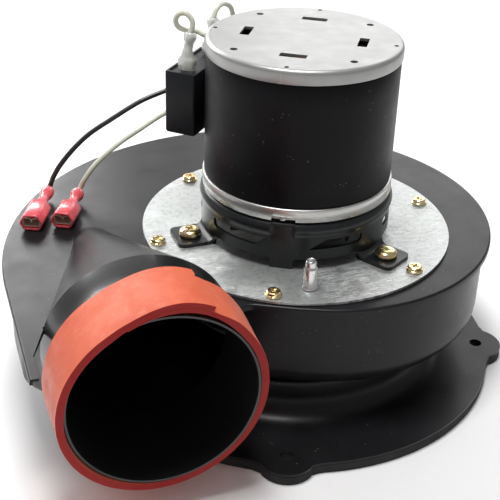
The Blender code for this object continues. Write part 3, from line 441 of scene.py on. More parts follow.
FINISHES = {
    "painted_charcoal": paint("painted_charcoal_satin", (0.008, 0.008, 0.009),
                              (0.014, 0.013, 0.015), (0.28, 0.40), dust=0.15, ior=1.34),
    "outlet_black": paint("outlet_black_gloss", (0.012, 0.012, 0.013),
                          (0.018, 0.018, 0.019), (0.28, 0.38), dust=0.10, ior=1.55,
                          coat=0.3, coat_rough=0.12),
    "cage_black": paint("cage_black_semigloss", (0.005, 0.006, 0.007),
                        (0.009, 0.011, 0.013), (0.28, 0.38), dust=0.10, ior=1.50),
    "shell_black": paint("shell_black_satin", (0.003, 0.003, 0.004),
                         (0.007, 0.006, 0.008), (0.36, 0.48), dust=0.20, peel=0.02, ior=1.25),
    "foam_black": moulded("gasket_foam_black", (0.012, 0.012, 0.012),
                          (0.030, 0.030, 0.030), (0.82, 0.98), peel=0.12),
    "silicone_red": silicone(),
    "galvanised": galvanised_plate(),
    "yellow_zinc": iridescent_zinc(),
    "bright_steel": plated("bright_turned_steel", (0.70, 0.70, 0.71), (0.88, 0.88, 0.88),
                           (0.20, 0.32), spangle=60.0, marks=((300.0, 90.0, 0.66),)),
    "band_zinc": plated("band_zinc_satin", (0.56, 0.56, 0.54), (0.70, 0.69, 0.67),
                        (0.28, 0.40), metal=0.9, marks=((140.0, 0.0, 0.68),)),
    "cap_grey": plated("cap_zinc_grey", (0.37, 0.37, 0.365), (0.42, 0.42, 0.415),
                       (0.34, 0.46), metal=0.65, marks=((90.0, 20.0, 0.70),)),
    "case_black": moulded("capacitor_case_black", (0.006, 0.007, 0.009),
                          (0.012, 0.013, 0.017), (0.38, 0.52), ior=1.35),
    "clear_nylon": clear_plastic("clear_nylon_insulator", (0.86, 0.86, 0.80), 0.55, (0.12, 0.24)),
    "red_nylon": clear_plastic("red_nylon_insulator", (0.86, 0.105, 0.130), 0.18, (0.22, 0.34)),
    "tinned_brass": plated("tinned_brass", (0.84, 0.74, 0.56), (0.94, 0.88, 0.76),
                           (0.26, 0.40), spangle=120.0, metal=0.6),
    "lead_black": moulded("lead_black_vinyl", (0.012, 0.013, 0.012), (0.026, 0.028, 0.026),
                          (0.26, 0.40), coat=0.25),
    "lead_white": moulded("lead_white_vinyl", (0.66, 0.68, 0.54), (0.80, 0.81, 0.72),
                          (0.30, 0.44), coat=0.2, soft=0.1, soft_scale=0.001),
    "rubber_black": moulded("grommet_rubber_black", (0.012, 0.012, 0.012),
                            (0.022, 0.022, 0.022), (0.60, 0.80)),
    "silicon_steel": plated("laminated_steel", (0.24, 0.25, 0.27), (0.36, 0.37, 0.39),
                            (0.40, 0.55), metal=0.8),
    "copper_enamel": plated("enamelled_copper", (0.50, 0.17, 0.05), (0.66, 0.27, 0.09),
                            (0.25, 0.40), spangle=90.0),
    "rotor_aluminium": plated("rotor_aluminium", (0.50, 0.51, 0.52), (0.64, 0.65, 0.66),
                              (0.34, 0.48)),
    "fan_black": moulded("fan_black_plastic", (0.020, 0.020, 0.022), (0.032, 0.032, 0.035),
                         (0.36, 0.50)),
    "wheel_zinc": plated("wheel_galvanised", (0.46, 0.48, 0.50), (0.62, 0.64, 0.66),
                         (0.30, 0.44), marks=((120.0, 40.0, 0.66),)),
}


# --- meshes ------------------------------------------------------------------
def in_scene(made):
    bpy.context.scene.collection.objects.link(made)
    return made


class Skin:
    """Faces that share a corner wherever their points meet."""

    def __init__(self):
        self.index = {}
        self.points = []
        self.faces = []

    def corner(self, point):
        key = tuple(round(value * 1e4) for value in point)
        if key not in self.index:
            self.index[key] = len(self.points)
            self.points.append(tuple(point))
        return self.index[key]

    def face(self, *points):
        corners = []
        for point in points:
            found = self.corner(point)
            if found not in corners:
                corners.append(found)
        if len(corners) > 2:
            self.faces.append(corners)

    def between(self, first, second, closed=True):
        count = len(first)
        for i in range(count if closed else count - 1):
            k = (i + 1) % count
            self.face(first[i], first[k], second[k], second[i])

    def strips(self, rows, closed=True):
        """Faces from each row to the next."""
        for first, second in zip(rows, rows[1:]):
            self.between(first, second, closed)

    def area(self, loops, z):
        """A flat face at z with holes: the first loop is the outline."""
        flats = [[Vector((x, y, 0.0)) for x, y in loop] for loop in loops]
        every = [point for loop in loops for point in loop]
        for triangle in tessellate_polygon(flats):
            self.face(*((*every[i], z) for i in triangle))

    def rings(self, rows, closed=False):
        """A solid from closed rows: capped at its ends, or joined end to end."""
        self.strips(rows)
        if closed:
            self.between(rows[-1], rows[0])
        else:
            self.face(*rows[0])
            self.face(*rows[-1])

    def turned(self, profile, count, centre=(0.0, 0.0), closed=True):
        rows = [flat(circle(radius, count, centre), z) for radius, z in profile]
        if closed:
            self.rings(rows, closed=True)
        else:
            self.strips(rows)

    def make(self, name, look, up=0, sharp=32.0):
        mesh = bpy.data.meshes.new(name)
        points = [tuple(value * MM for value in point) for point in self.points]
        mesh.from_pydata(points, [], self.faces)
        work = bmesh.new()
        work.from_mesh(mesh)
        bmesh.ops.recalc_face_normals(work, faces=work.faces)
        if up:
            work.faces.ensure_lookup_table()
            top = max(work.faces, key=lambda f: abs(f.normal.z) * f.calc_area())
            if (top.normal.z < 0) == (up > 0):
                bmesh.ops.reverse_faces(work, faces=work.faces)
        work.to_mesh(mesh)
        work.free()
        mesh.shade_smooth()
        mesh.set_sharp_from_angle(angle=math.radians(sharp))
        mesh.materials.append(FINISHES[look])
        made = in_scene(bpy.data.objects.new(name, mesh))
        made.location = AXIS
        return made


def bevel(piece, width, segments=3, angle=38.0):
    modifier = piece.modifiers.new("edges", "BEVEL")
    modifier.width = width * MM
    modifier.segments = segments
    modifier.limit_method = "ANGLE"
    modifier.angle_limit = math.radians(angle)
    modifier.harden_normals = False
    weighted = piece.modifiers.new("normals", "WEIGHTED_NORMAL")
    weighted.keep_sharp = False
    weighted.weight = 80
    return piece


def thicken(piece, thickness):
    modifier = piece.modifiers.new("sheet", "SOLIDIFY")
    modifier.thickness = thickness * MM
    modifier.offset = -1.0
    modifier.use_even_offset = True
    return piece


def stands_for(piece, *nodes, body="housing"):
    """The piece takes the place of these CAD nodes and moves with the body."""
    if nodes:
        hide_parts(*nodes)
    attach(piece, body)
    return piece


def plate_solid(name, look, loops, bottom, top):
    skin = Skin()
    for z in (bottom, top):
        skin.area(loops, z)
    for loop in loops:
        skin.between(flat(loop, bottom), flat(loop, top))
    return skin.make(name, look)


# --- camera ------------------------------------------------------------------
CAMERA_PLACE = (-164.38, -404.51, 300.10)
CAMERA_TURNS = (19.5, 29.709, 1.986)  # turn, downward tilt and roll
CAMERA_LENS = (76.7, 36.0)  # focal length and sensor width


def add_camera():
    """The view from the front left, seen slightly from above."""
    data = bpy.data.cameras.new("view")
    camera = in_scene(bpy.data.objects.new("view", data))
    turn, tilt, roll = (math.radians(degrees) for degrees in CAMERA_TURNS)
    forward = Vector((math.sin(turn) * math.cos(tilt), math.cos(turn) * math.cos(tilt),
                      -math.sin(tilt)))
    right = Vector((math.cos(turn), -math.sin(turn), 0.0))
    up = right.cross(forward)
    rolled_right = right * math.cos(roll) + up * math.sin(roll)
    rolled_up = up * math.cos(roll) - right * math.sin(roll)
    matrix = camera.matrix_world.copy()
    for column, vector in enumerate((rolled_right, rolled_up, -forward)):
        for row in range(3):
            matrix[row][column] = vector[row]
    place = AXIS + Vector(CAMERA_PLACE) * MM
    for row in range(3):
        matrix[row][3] = place[row]
    camera.matrix_world = matrix
    data.lens, data.sensor_width = CAMERA_LENS
    data.clip_start, data.clip_end = 0.01, 20.0
    bpy.context.scene.camera = camera


# --- leads -------------------------------------------------------------------
OUT = Vector((*polar(1.0, CAPACITOR_AT), 0.0))
ALONG = Vector((*polar(1.0, CAPACITOR_AT - 90.0), 0.0))
UP = Vector((0.0, 0.0, 1.0))
EXIT_OUT = Vector((*polar(1.0, GROMMET_AT), 0.0))
EXIT_SIDE = Vector((*polar(1.0, GROMMET_AT + 90.0), 0.0))
TERMINALS = {
    # mouth, neck and tail of each red connector, lying on the cover
    "black": ((-117.2, 25.8, 69.7), (-109.6, 43.8, 69.7), (-104.4, 55.6, 70.3)),
    "white": ((-103.4, 24.4, 69.7), (-96.0, 39.8, 69.7), (-91.2, 49.6, 70.3)),
}
ROUTES = {
    "black": (
        (-14.5, 53.6, 120.0), (-20.5, 59.3, 119.6), (-31.0, 63.0, 116.8),
        (-44.4, 63.7, 111.9), (-57.3, 62.6, 108.0), (-72.5, 61.1, 100.6),
        (-82.8, 60.2, 95.0), (-90.6, 58.6, 89.2), (-97.2, 57.6, 82.4),
        (-101.2, 57.9, 76.0),
    ),
    "white": (
        (-14.0, 52.6, 115.0), (-19.5, 57.6, 112.4), (-30.0, 59.8, 107.8),
        (-45.9, 59.4, 102.2), (-58.8, 57.0, 96.3), (-68.8, 55.3, 91.4),
        (-77.0, 53.3, 86.4), (-83.2, 52.1, 81.2), (-87.6, 51.8, 75.4),
    ),
}
GLANDS = {"black": (1.6, 1.6), "white": (1.6, -1.6)}
GLAND_IN, GLAND_OUT = 43.0, 49.0


def gland(side, rise, reach):
    return EXIT_OUT * reach + EXIT_SIDE * side + UP * (GROMMET_Z + rise)


def lead(name, look, points, steps):
    curve = bpy.data.curves.new(name, "CURVE")
    curve.dimensions = "3D"
    curve.bevel_depth = LEAD_DIAMETER / 2 * MM
    curve.bevel_resolution = 6
    curve.use_fill_caps = True
    spline = curve.splines.new("POLY")
    route = smooth_path(points, steps)
    spline.points.add(len(route) - 1)
    for target, point in zip(spline.points, route):
        target.co = (*(point * MM), 1.0)
    spline.use_smooth = True
    curve.materials.append(FINISHES[look])
    made = in_scene(bpy.data.objects.new(name, curve))
    made.location = AXIS
    return made


def add_supply_leads(terminals):
    for key, route in ROUTES.items():
        mouth, neck, tail = (Vector(p) for p in TERMINALS[key])
        back = (tail - neck).normalized()
        points = [gland(*GLANDS[key], GLAND_IN), gland(*GLANDS[key], GLAND_OUT)]
        points += [Vector(p) for p in route]
        points += [tail + back * 2.6 + UP * 0.35, tail - back * 2.0, tail - back * 8.0]
        piece = lead(f"{key}_lead_wire", f"lead_{key}", points, 6)
        stands_for(piece, f"{key}_lead")


CAPACITOR_ROUTES = (
    # lean at the neck, the arch above the terminal as (right, away, up) steps
    # turned by some degrees, then the way down as (radius, degrees, height)
    (
        (0.55, 0.27), -19.5,
        ((0.6, 0.3, 2.8), (0.2, 0.8, 5.6), (-2.2, 1.4, 7.8), (-5.2, 2.0, 7.4),
         (-6.8, 2.6, 4.6), (-5.8, 3.2, 1.4), (-2.4, 4.2, -0.4), (2.2, 6.6, -1.6)),
        ((44.9, 140.0, 149.6), (45.0, 131.0, 148.6), (46.4, 120.0, 147.0),
         (49.0, 112.0, 141.0), (51.6, 107.6, 132.0), (51.4, 105.4, 124.4)),
        (-1.6, 1.6),
    ),
    (
        (0.45, 0.25), 0.0,
        ((1.6, 1.2, 3.4), (5.2, 3.4, 5.0), (9.6, 6.0, 2.6), (12.2, 8.0, -4.0)),
        ((54.4, 101.6, 139.0), (55.4, 101.2, 127.0), (54.0, 102.2, 119.4)),
        (-1.6, -1.6),
    ),
)


def add_capacitor_leads():
    for i, (pin, route) in enumerate(zip(CAPACITOR_PINS, CAPACITOR_ROUTES)):
        (reach, lean), (neck_lean, turn, arch, down, spot) = pin, route
        foot = OUT * TERMINAL_OUT + ALONG * reach
        top = foot + Vector((*lean, TERMINAL_TAIL))
        right = Vector((*polar(1.0, turn), 0.0))
        away = Vector((*polar(1.0, turn + 90.0), 0.0))
        points = [foot + UP * (TERMINAL_NECK + 2.5) + Vector((*neck_lean, 0.0)), top]
        points += [top + right * a + away * b + UP * c for a, b, c in arch]
        points += [Vector((*polar(radius, degrees), z)) for radius, degrees, z in down]
        points += [gland(*spot, GLAND_OUT + 0.4), gland(*spot, GLAND_IN)]
        piece = lead(f"capacitor_wire_{i + 1}", "lead_white", points, 6)
        stands_for(piece, f"capacitor_lead_{i + 1}")


# --- connectors --------------------------------------------------------------
def rounded_box(width, depth, corner, steps=4):
    loop = []
    for i, (sx, sy) in enumerate(((1, 1), (-1, 1), (-1, -1), (1, -1))):
        centre = (sx * (width / 2 - corner), sy * (depth / 2 - corner))
        loop += arc(corner, 90.0 * i, 90.0 * i + 90.0, steps, centre)
    return loop


def placed(loop, centre, across, upward):
    return [tuple(Vector(centre) + across * a + upward * b) for a, b in loop]


def sleeve(name, look, mouth, neck, tail, across, size, barrel, bore):
    """An insulated connector: a box body with a stepped shoulder, then a barrel."""
    mouth, neck, tail = Vector(mouth), Vector(neck), Vector(tail)
    forward = (mouth - neck).normalized()
    lift = across.cross(forward).normalized()
    width, depth = size
    back = (neck - tail).normalized()
    spread = (across - back * across.dot(back)).normalized()
    rise = spread.cross(back).normalized()
    steps = 6

    def box(reach, w, d, corner):
        corners = [(w / 2, -d * 0.02), (w * 0.27, d / 2), (-w * 0.27, d / 2),
                   (-w / 2, -d * 0.02), (-w * 0.32, -d / 2), (w * 0.32, -d / 2)]
        loop = []
        for i, spot in enumerate(corners):
            before, after = Vector(corners[i - 1]), Vector(corners[(i + 1) % 6])
            here = Vector(spot)
            a = here + (before - here).normalized() * corner
            b = here + (after - here).normalized() * corner
            for k in range(4):
                t = k / 3
                bent = a * (1 - t) ** 2 + here * 2 * t * (1 - t) + b * t * t
                loop.append((bent.x, bent.y))
        return placed(loop, neck + forward * reach, across, lift)

    def ring(share, radius):
        loop = rounded_box(2 * radius, 2 * radius, radius - 0.01, steps)
        return placed(loop, tail.lerp(neck, share), spread, rise)

    long = (mouth - neck).length
    rows = [
        ring(0.0, barrel - 0.9), ring(0.05, barrel - 0.3), ring(0.16, barrel),
        ring(0.30, barrel), ring(0.42, barrel - 0.35), ring(0.52, barrel - 0.85),
        ring(0.85, barrel - 0.85), ring(1.0, barrel - 0.4),
        box(2.0, width - 3.0, depth - 2.4, 0.9), box(2.9, width - 0.8, depth - 0.8, 1.1),
        box(3.6, width, depth, 1.1), box(long - 0.4, width, depth, 1.0),
        box(long, width - 0.6, depth - 0.6, 0.9),
        box(long, width - 1.9, depth - 1.8, 0.7), box(3.6, width - 2.0, depth - 1.9, 0.7),
        ring(1.0, bore), ring(0.0, bore),
    ]
    skin = Skin()
    skin.rings(rows, closed=True)
    return skin.make(name, look, sharp=50.0)


def receptacle(name, mouth, neck, across, size):
    """The folded socket: a flat base whose two sides roll over to the middle."""
    mouth, neck = Vector(mouth), Vector(neck)
    forward = (mouth - neck).normalized()
    lift = across.cross(forward).normalized()
    width, depth = size
    thin = 0.5
    half, high = width / 2, depth / 2
    side = [(-0.3, -0.1), (-0.5, high * 0.62)]
    side += arc(high * 0.55, 80.0, 180.0, 6, (-half + high * 0.55, high * 0.45))
    side += [(-half, -high * 0.6), (-half + 0.5, -high)]
    path = side + [(-x, z) for x, z in reversed(side)]
    closer = inset(path, thin)
    rows = []
    for reach in (5.0, (mouth - neck).length - 1.0):
        centre = neck + forward * reach
        rows.append((placed(path, centre, across, lift), placed(closer, centre, across, lift)))
    skin = Skin()
    (out_a, in_a), (out_b, in_b) = rows
    skin.between(out_a, in_a, closed=False)
    skin.between(out_b, in_b, closed=False)
    skin.between(out_a, out_b, closed=False)
    skin.between(in_a, in_b, closed=False)
    for i in (0, -1):
        skin.face(out_a[i], in_a[i], in_b[i], out_b[i])
    return skin.make(name, "tinned_brass")


def add_terminals():
    made = {}
    for key, (mouth, neck, tail) in TERMINALS.items():
        forward = (Vector(mouth) - Vector(neck)).normalized()
        across = forward.cross(UP).normalized()
        body = sleeve(f"{key}_connector", "red_nylon", mouth, neck, tail, across,
                      (11.4, 7.8), 3.2, 1.6)
        stands_for(body, f"{key}_terminal")
        socket = receptacle(f"{key}_socket", mouth, neck, across, (7.3, 3.6))
        stands_for(socket, f"{key}_receptacle")
        made[key] = [body, socket]
    return made


def add_capacitor():
    middle_out = OUT * (CAPACITOR_FACE + CAPACITOR_THICK / 2)
    skin = Skin()
    rows = []
    levels = (
        (CAPACITOR_BOTTOM, 1.4), (CAPACITOR_BOTTOM + 0.3, 0.5), (CAPACITOR_BOTTOM + 0.9, 0.0),
        (CAPACITOR_TOP - 0.5, 0.0), (CAPACITOR_TOP - 0.1, 0.4), (CAPACITOR_TOP, 1.0),
        (CAPACITOR_TOP, 2.6), (CAPACITOR_TOP - 0.8, 3.0),
    )
    for z, shrink in levels:
        loop = rounded_box(CAPACITOR_LENGTH - shrink, CAPACITOR_THICK - shrink, 1.2, 6)
        rows.append(placed(loop, middle_out + UP * z, ALONG, OUT))
    skin.rings(rows)
    stands_for(skin.make("capacitor_case", "case_black"), "run_capacitor")
    for i, (reach, lean) in enumerate(CAPACITOR_PINS):
        at = OUT * TERMINAL_OUT + ALONG * reach
        mouth, neck = at + UP * (CAPACITOR_TOP + 0.3), at + UP * TERMINAL_NECK
        tail = at + Vector((*lean, TERMINAL_TAIL))
        piece = sleeve(f"capacitor_connector_{i + 1}", "clear_nylon", mouth, neck, tail,
                       ALONG, (8.2, 7.8), 2.9, 1.6)
        stands_for(piece, f"capacitor_terminal_{i + 1}")

    # the clip runs round the case's end and then along the shell
    half = CAPACITOR_LENGTH / 2 + 0.4
    face = CAPACITOR_FACE + CAPACITOR_THICK + 0.4
    path = [(5.0 - half, face)] + arc(1.4, 90.0, 0.0, 6, (half - 1.4, face - 1.4))
    path += [(half, 41.5)]
    for i in range(1, 9):
        path.append((half + i, math.sqrt((SHELL_RADIUS + 0.4) ** 2 - (half + i) ** 2)))
    outer = inset(path, -0.8)
    skin = Skin()
    low, high = BRACKET_HEIGHTS
    rows = []
    for near, far in zip(path, outer):
        corners = ((near, low), (far, low), (far, high), (near, high))
        rows.append([tuple(ALONG * a + OUT * b + UP * z) for (a, b), z in corners])
    skin.rings(rows)
    stands_for(bevel(skin.make("capacitor_clip", "galvanised"), 0.2), "capacitor_bracket")


# --- flange ------------------------------------------------------------------
def flange_outline(grow=0.0):
    loop = []
    for ear in EAR_ANGLES:
        centre = polar(EAR_CENTRE, ear)
        loop.append(polar(DISC_RADIUS + grow, ear - 9.4))
        loop.append(polar(DISC_RADIUS + 0.15 + grow, ear - 8.5))
        loop.append(polar(DISC_RADIUS + 0.6 + grow, ear - 7.6))
        loop += arc(EAR_RADIUS + grow, ear - 64.0, ear + 64.0, 33, centre)
        loop.append(polar(DISC_RADIUS + 0.6 + grow, ear + 7.6))
        loop.append(polar(DISC_RADIUS + 0.15 + grow, ear + 8.5))
        loop += arc(DISC_RADIUS + grow, ear + 9.4, ear + 78.5, 48)
    return loop


def add_flange():
    holes = [circle(EAR_HOLE, 24, polar(EAR_CENTRE, ear)) for ear in EAR_ANGLES]
    loops = [flange_outline(-0.1), circle(70.0, 96)] + holes
    piece = plate_solid("gasket_ring", "foam_black", loops, 0.0, GASKET_TOP)
    stands_for(bevel(piece, 0.5, 2), "flange_gasket")

    outline, count = flange_outline(), 144
    fillet = [(NECK_RADIUS + NECK_FILLET * (1 - s), NECK_FILLET * (1 - c)) for s, c in quarter(10)]
    outside = [(r, FLANGE_TOP + z) for r, z in fillet]
    top = FLOOR_Z - 0.3
    outside += [(NECK_RADIUS, top - 2.2), (NECK_RADIUS - 0.7, top - 0.7)]
    outside += [(NECK_RADIUS - 2.2, top), (54.0, top), (54.0, top - 1.1)]
    outside += [(NECK_RADIUS - 2.6, top - 1.1), (NECK_RADIUS - 1.1, top - 2.5)]
    inside = [(r - 1.1 * i / 10, FLANGE_BOTTOM + z) for i, (r, z) in enumerate(fillet)]
    profile = outside + inside[::-1]
    skin = Skin()
    skin.area([outline, circle(profile[0][0], count)] + holes, FLANGE_TOP)
    skin.area([outline, circle(profile[-1][0], count)] + holes, FLANGE_BOTTOM)
    for loop in [outline] + holes:
        skin.between(flat(loop, FLANGE_BOTTOM), flat(loop, FLANGE_TOP))
    skin.turned(profile, count, closed=False)
    piece = bevel(skin.make("flange_pressing", "painted_charcoal"), 0.35)
    stands_for(piece, "inlet_flange")


# --- scroll ------------------------------------------------------------------
def spiral_point(degrees):
    radius = SPIRAL_START * math.exp(SPIRAL_GROWTH * math.radians(degrees))
    return polar(radius, degrees, (SPIRAL_X, SPIRAL_Y))


SPIRAL = [
    spiral_point(SPIRAL_FROM + (SPIRAL_TO - SPIRAL_FROM) * i / SPIRAL_STEPS)
    for i in range(SPIRAL_STEPS + 1)
]
TONGUE = [(-21.6, -68.9), (-24.9, -67.4), (-32.2, -63.9), (-39.4, -60.2)]


def ramp_rows(apex, level, apex_from, apex_to, count, rows):
    """Ruled rows from an arc in the sheet's plane to the pipe's own circle."""
    drop = math.degrees(math.asin((level - OUTLET_Z) / JUNCTION_RADIUS))
    first, last = (180.0 - drop, drop)
    if level < OUTLET_Z:
        last += 360.0
    apex_line = flat(arc(APEX_RADIUS, apex_from, apex_to, count, apex), level)
    pipe_line = [
        junction(first + (last - first) * i / (count - 1)) for i in range(count)
    ]
    return [
        [lerp(a, b, row / (rows - 1)) for a, b in zip(apex_line, pipe_line)]
        for row in range(rows)
    ]


def ramp_notch(ramp):
    """The outline that a ramp's rows leave in the sheet they rise out of."""
    left, right = ([(row[side][0], row[side][1]) for row in ramp] for side in (0, -1))
    apex = [(x, y) for x, y, _ in ramp[0]]
    return right[::-1] + apex[-2:0:-1] + left


def add_housing():
    outline = [(LEFT_EDGE, -36.0), (LEFT_EDGE, -31.0), (LEFT_EDGE, -26.0), (LEFT_EDGE, -21.0)]
    outline += SPIRAL + TONGUE
    path = inset(outline, LIP_INSET)
    left_end, right_end = junction(180.0), junction(0.0)
    left_blend = [
        (-126.5, JUNCTION_Y, 1.0), (-127.3, -50.4, 0.90), (-128.3, -47.5, 0.74),
        (-129.4, -44.7, 0.54), (-130.6, -42.0, 0.34), (-131.6, -39.0, 0.16),
    ]
    columns = left_blend + [(x, y, 0.0) for x, y in path]
    columns += [(-43.1, -55.2, 0.5), (-46.7, JUNCTION_Y, 1.0)]
    line = [(x, y) for x, y, _ in columns]
    insides = inset(line, 1.0)
    levels = [(z, 0.0) for z in (WALL_TOP, 60.0, 55.0, OUTLET_Z, 46.0, 41.0)]
    levels += [(FLOOR_Z + FLOOR_ROUND * (1 - s), FLOOR_ROUND * (1 - c)) for s, c in quarter(8)]
    rows = []
    for z, inward in levels:
        half = math.sqrt(JUNCTION_RADIUS**2 - (z - OUTLET_Z) ** 2)
        row = []
        for i, (x, y, share) in enumerate(columns):
            side = -1.0 if i < len(columns) / 2 else 1.0
            shift = side * (half - JUNCTION_RADIUS) * share
            normal = Vector(insides[i]) - Vector(line[i])
            move = inward * (1.0 - share)
            end = left_end[0] if side < 0 else right_end[0]
            base = end if share == 1.0 else x
            row.append((base + shift + normal.x * move, y + normal.y * move, z))
        rows.append(row)
    skin = Skin()
    skin.strips(rows, closed=False)
    bottom = [(x, y) for x, y, _ in rows[-1]]
    lower = ramp_rows(LOWER_APEX, FLOOR_Z, 203.0, 26.0, 41, 16)
    count = 96
    skin.area([bottom + ramp_notch(lower)[1:-1], circle(INLET_RADIUS, count)], FLOOR_Z)
    bell = [(INLET_RADIUS, FLOOR_Z)]
    bell += [(INLET_MOUTH + 6.5 * (1 - s), FLOOR_Z + 12.0 * (1 - c)) for s, c in quarter(6, 1)]
    skin.turned(bell, count, closed=False)
    skin.strips(lower, closed=False)
    piece = skin.make("scroll_shell", "painted_charcoal", up=-1, sharp=40.0)
    bevel(thicken(piece, SHEET), 0.3, 2, 60.0)
    stands_for(piece, "scroll_housing")


def clear_of_plate(row):
    """The ramp's side bows round the motor plate."""
    moved = []
    for i, (x, y, z) in enumerate(row):
        share = (len(row) - 1 - i) / (len(row) - 1)
        least = PLATE_RADIUS + 0.8 + 8.0 * share
        away = Vector((x, y)) - Vector(PLATE_CENTRE)
        away *= max(1.0, least / away.length)
        moved.append((*(away + Vector(PLATE_CENTRE)), z))
    return moved


def add_cover():
    ramp = [clear_of_plate(row) for row in ramp_rows(UPPER_APEX, COVER_TOP, 203.5, 26.0, 57, 24)]
    lip = [(LEFT_EDGE, HEM_END), (LEFT_EDGE, -60.0), (LEFT_EDGE, -38.0), (LEFT_EDGE, -24.0)]
    lip += SPIRAL + TONGUE
    lip += [(-41.6, -59.8), (-43.6, -60.0), (-45.2, -60.7), (-46.5, -61.9), (-47.3, -63.4)]
    lip += [(-47.8, -65.4), (-47.9, -71.5)]
    back = [(-50.4, -71.5), (-50.4, -54.6)]
    front = [(-130.9, -70.9), (-131.0, HEM_END)]
    holes = [circle(2.3, 16, at) for at in PLATE_SCREWS]
    tap_at = math.degrees(math.atan2(TAP_AT[1], TAP_AT[0])) % 360.0
    opening = []
    for i in range(120):
        let_out = 4.6 if abs(3.0 * i - tap_at) < 6.0 else 0.0
        opening.append(polar(COVER_OPENING + let_out, 3.0 * i))
    skin = Skin()
    roll = 1.1
    rows = [flat(inset(lip, roll * (1 - s)), COVER_TOP - roll * (1 - c)) for s, c in quarter(5)]
    rows.append(flat(lip, COVER_TOP - LIP_DEPTH))
    outline = inset(lip, roll) + back + ramp_notch(ramp) + front
    skin.area([outline, opening] + holes, COVER_TOP)
    skin.strips(rows, closed=False)
    skin.strips(ramp, closed=False)
    piece = skin.make("cover_pressing", "painted_charcoal", up=1, sharp=40.0)
    bevel(thicken(piece, SHEET), 0.08, 2, 50.0)
    stands_for(piece, "scroll_cover")
    # the fold at the ramp's left side stands up as a thin bead
    bead = Skin()
    rows = []
    for row in ramp[1:]:
        x, y, z = row[0]
        rows.append([(x + 0.45 * a, y, z + 0.1 + 0.45 * b) for a, b in circle(1.0, 12)])
    bead.rings(rows)
    stands_for(bead.make("cover_fold", "painted_charcoal"))


# --- outlet ------------------------------------------------------------------
def add_outlet():
    """The pipe: its collar leaves the ramp at its own radius and narrows."""
    skin = Skin()
    rear = JUNCTION_Y - 0.06
    bore = PIPE_RADIUS - PIPE_WALL
    outer = [(39.9, rear), (39.6, rear - 2.5), (39.2, rear - 5.0), (38.7, rear - 8.0),
             (38.2, rear - 11.0)]
    outer += [(PIPE_RADIUS, rear - 13.0), (PIPE_RADIUS, STRIP_REAR),
              (PIPE_RADIUS, PIPE_END + 0.1), (PIPE_RADIUS - 0.1, PIPE_END)]
    inner = [(bore + 0.1, PIPE_END), (bore, PIPE_END + 0.1), (bore, STRIP_REAR), (bore, rear)]
    rows = [[junction(2.5 * i, y, radius) for i in range(144)] for radius, y in outer + inner]
    skin.rings(rows, closed=True)
    piece = skin.make("outlet_pipe", "outlet_black")
    stands_for(piece, "outlet_collar")


def feather(turn):
    """The band's thickness over its own start, which is pressed thin."""
    return FEATHER_THICK + (LAP_INNER - FEATHER_THICK) * smooth(turn / FEATHER_REACH)


def strip_turns(share, count):
    """Degrees along the band at this share of its width, between its torn ends."""
    ragged = 1.5 * noise.noise(Vector((share * 5.0, 3.1, 0.0)))
    ragged += 0.8 * noise.noise(Vector((share * 17.0, 7.7, 0.0)))
    end = 360.0 + (45.0 + 4.5 * (1.0 - share) ** 2 + ragged)
    torn = 0.8 * noise.noise(Vector((share * 9.0, 1.3, 4.0)))
    turns = [torn] + [3.0 * i for i in range(1, 128)]
    turns = [turn for turn in turns if turn < end - 2.0]
    while len(turns) < count:
        turns.append(turns[-1] + (end - turns[-1]) / (count + 1 - len(turns)))
    return turns


def strip_radii(turn, share):
    """(inner, outer) radius of the band this many degrees after its start."""
    aside = abs((STRIP_START - turn - STRIP_GAP_AT + 180.0) % 360.0 - 180.0) / STRIP_GAP_REACH
    swell = math.cos(math.radians(90.0 * min(1.0, aside))) ** 2
    low = STRIP_INNER + STRIP_FLARE * share + STRIP_GAP * swell
    past = turn - 360.0
    thick = STRIP_THICK
    if turn < LAP_END:
        thick = feather(turn)
    elif turn < LAP_END + STRIP_RIDE:
        thick = LAP_INNER + (STRIP_THICK - LAP_INNER) * (turn - LAP_END) / STRIP_RIDE
    if past > 0.0:
        low += feather(past) + LAP_SPACE
    elif past > -STRIP_RIDE:
        low += (FEATHER_THICK + LAP_SPACE) * smooth(past / STRIP_RIDE + 1.0)
    if past > -STRIP_RIDE:
        eased = smooth((past + STRIP_RIDE) / (STRIP_RIDE + FEATHER_REACH))
        thick += (LAP_OUTER - STRIP_THICK) * eased
    wave = noise.noise(Vector((turn * 0.06, share * 2.0, 1.0)))
    return low, low + thick + 0.12 * wave


def add_strip():
    """The band goes once round clockwise and rides up over its own start.

    It ends on top of the start with a torn slanting cut, and stands off the
    pipe where it laps.
    """
    wide = 17
    rows = []
    for k in range(wide):
        share = k / (wide - 1)
        inner_row, outer_row = [], []
        for turn in strip_turns(share, 136):
            degrees = STRIP_START - turn
            across, up = polar(1.0, degrees)
            front = STRIP_FRONT + STRIP_TILT_X * across + STRIP_TILT_Z * up
            y = front + (STRIP_REAR - front) * share
            low, high = strip_radii(turn, share)
            inner_row.append(junction(degrees, y, low))
            outer_row.append(junction(degrees, y, high))
        rows.append((inner_row, outer_row))
    skin = Skin()
    for (low_a, high_a), (low_b, high_b) in zip(rows, rows[1:]):
        skin.between(low_a, low_b, closed=False)
        skin.between(high_a, high_b, closed=False)
        for i in (0, -1):
            skin.face(low_a[i], high_a[i], high_b[i], low_b[i])
    for low, high in (rows[0], rows[-1]):
        skin.between(low, high, closed=False)
    piece = skin.make("silicone_band", "silicone_red", sharp=50.0)
    bevel(piece, 0.3, 2, 55.0)
    stands_for(piece, "outlet_seal_strip")


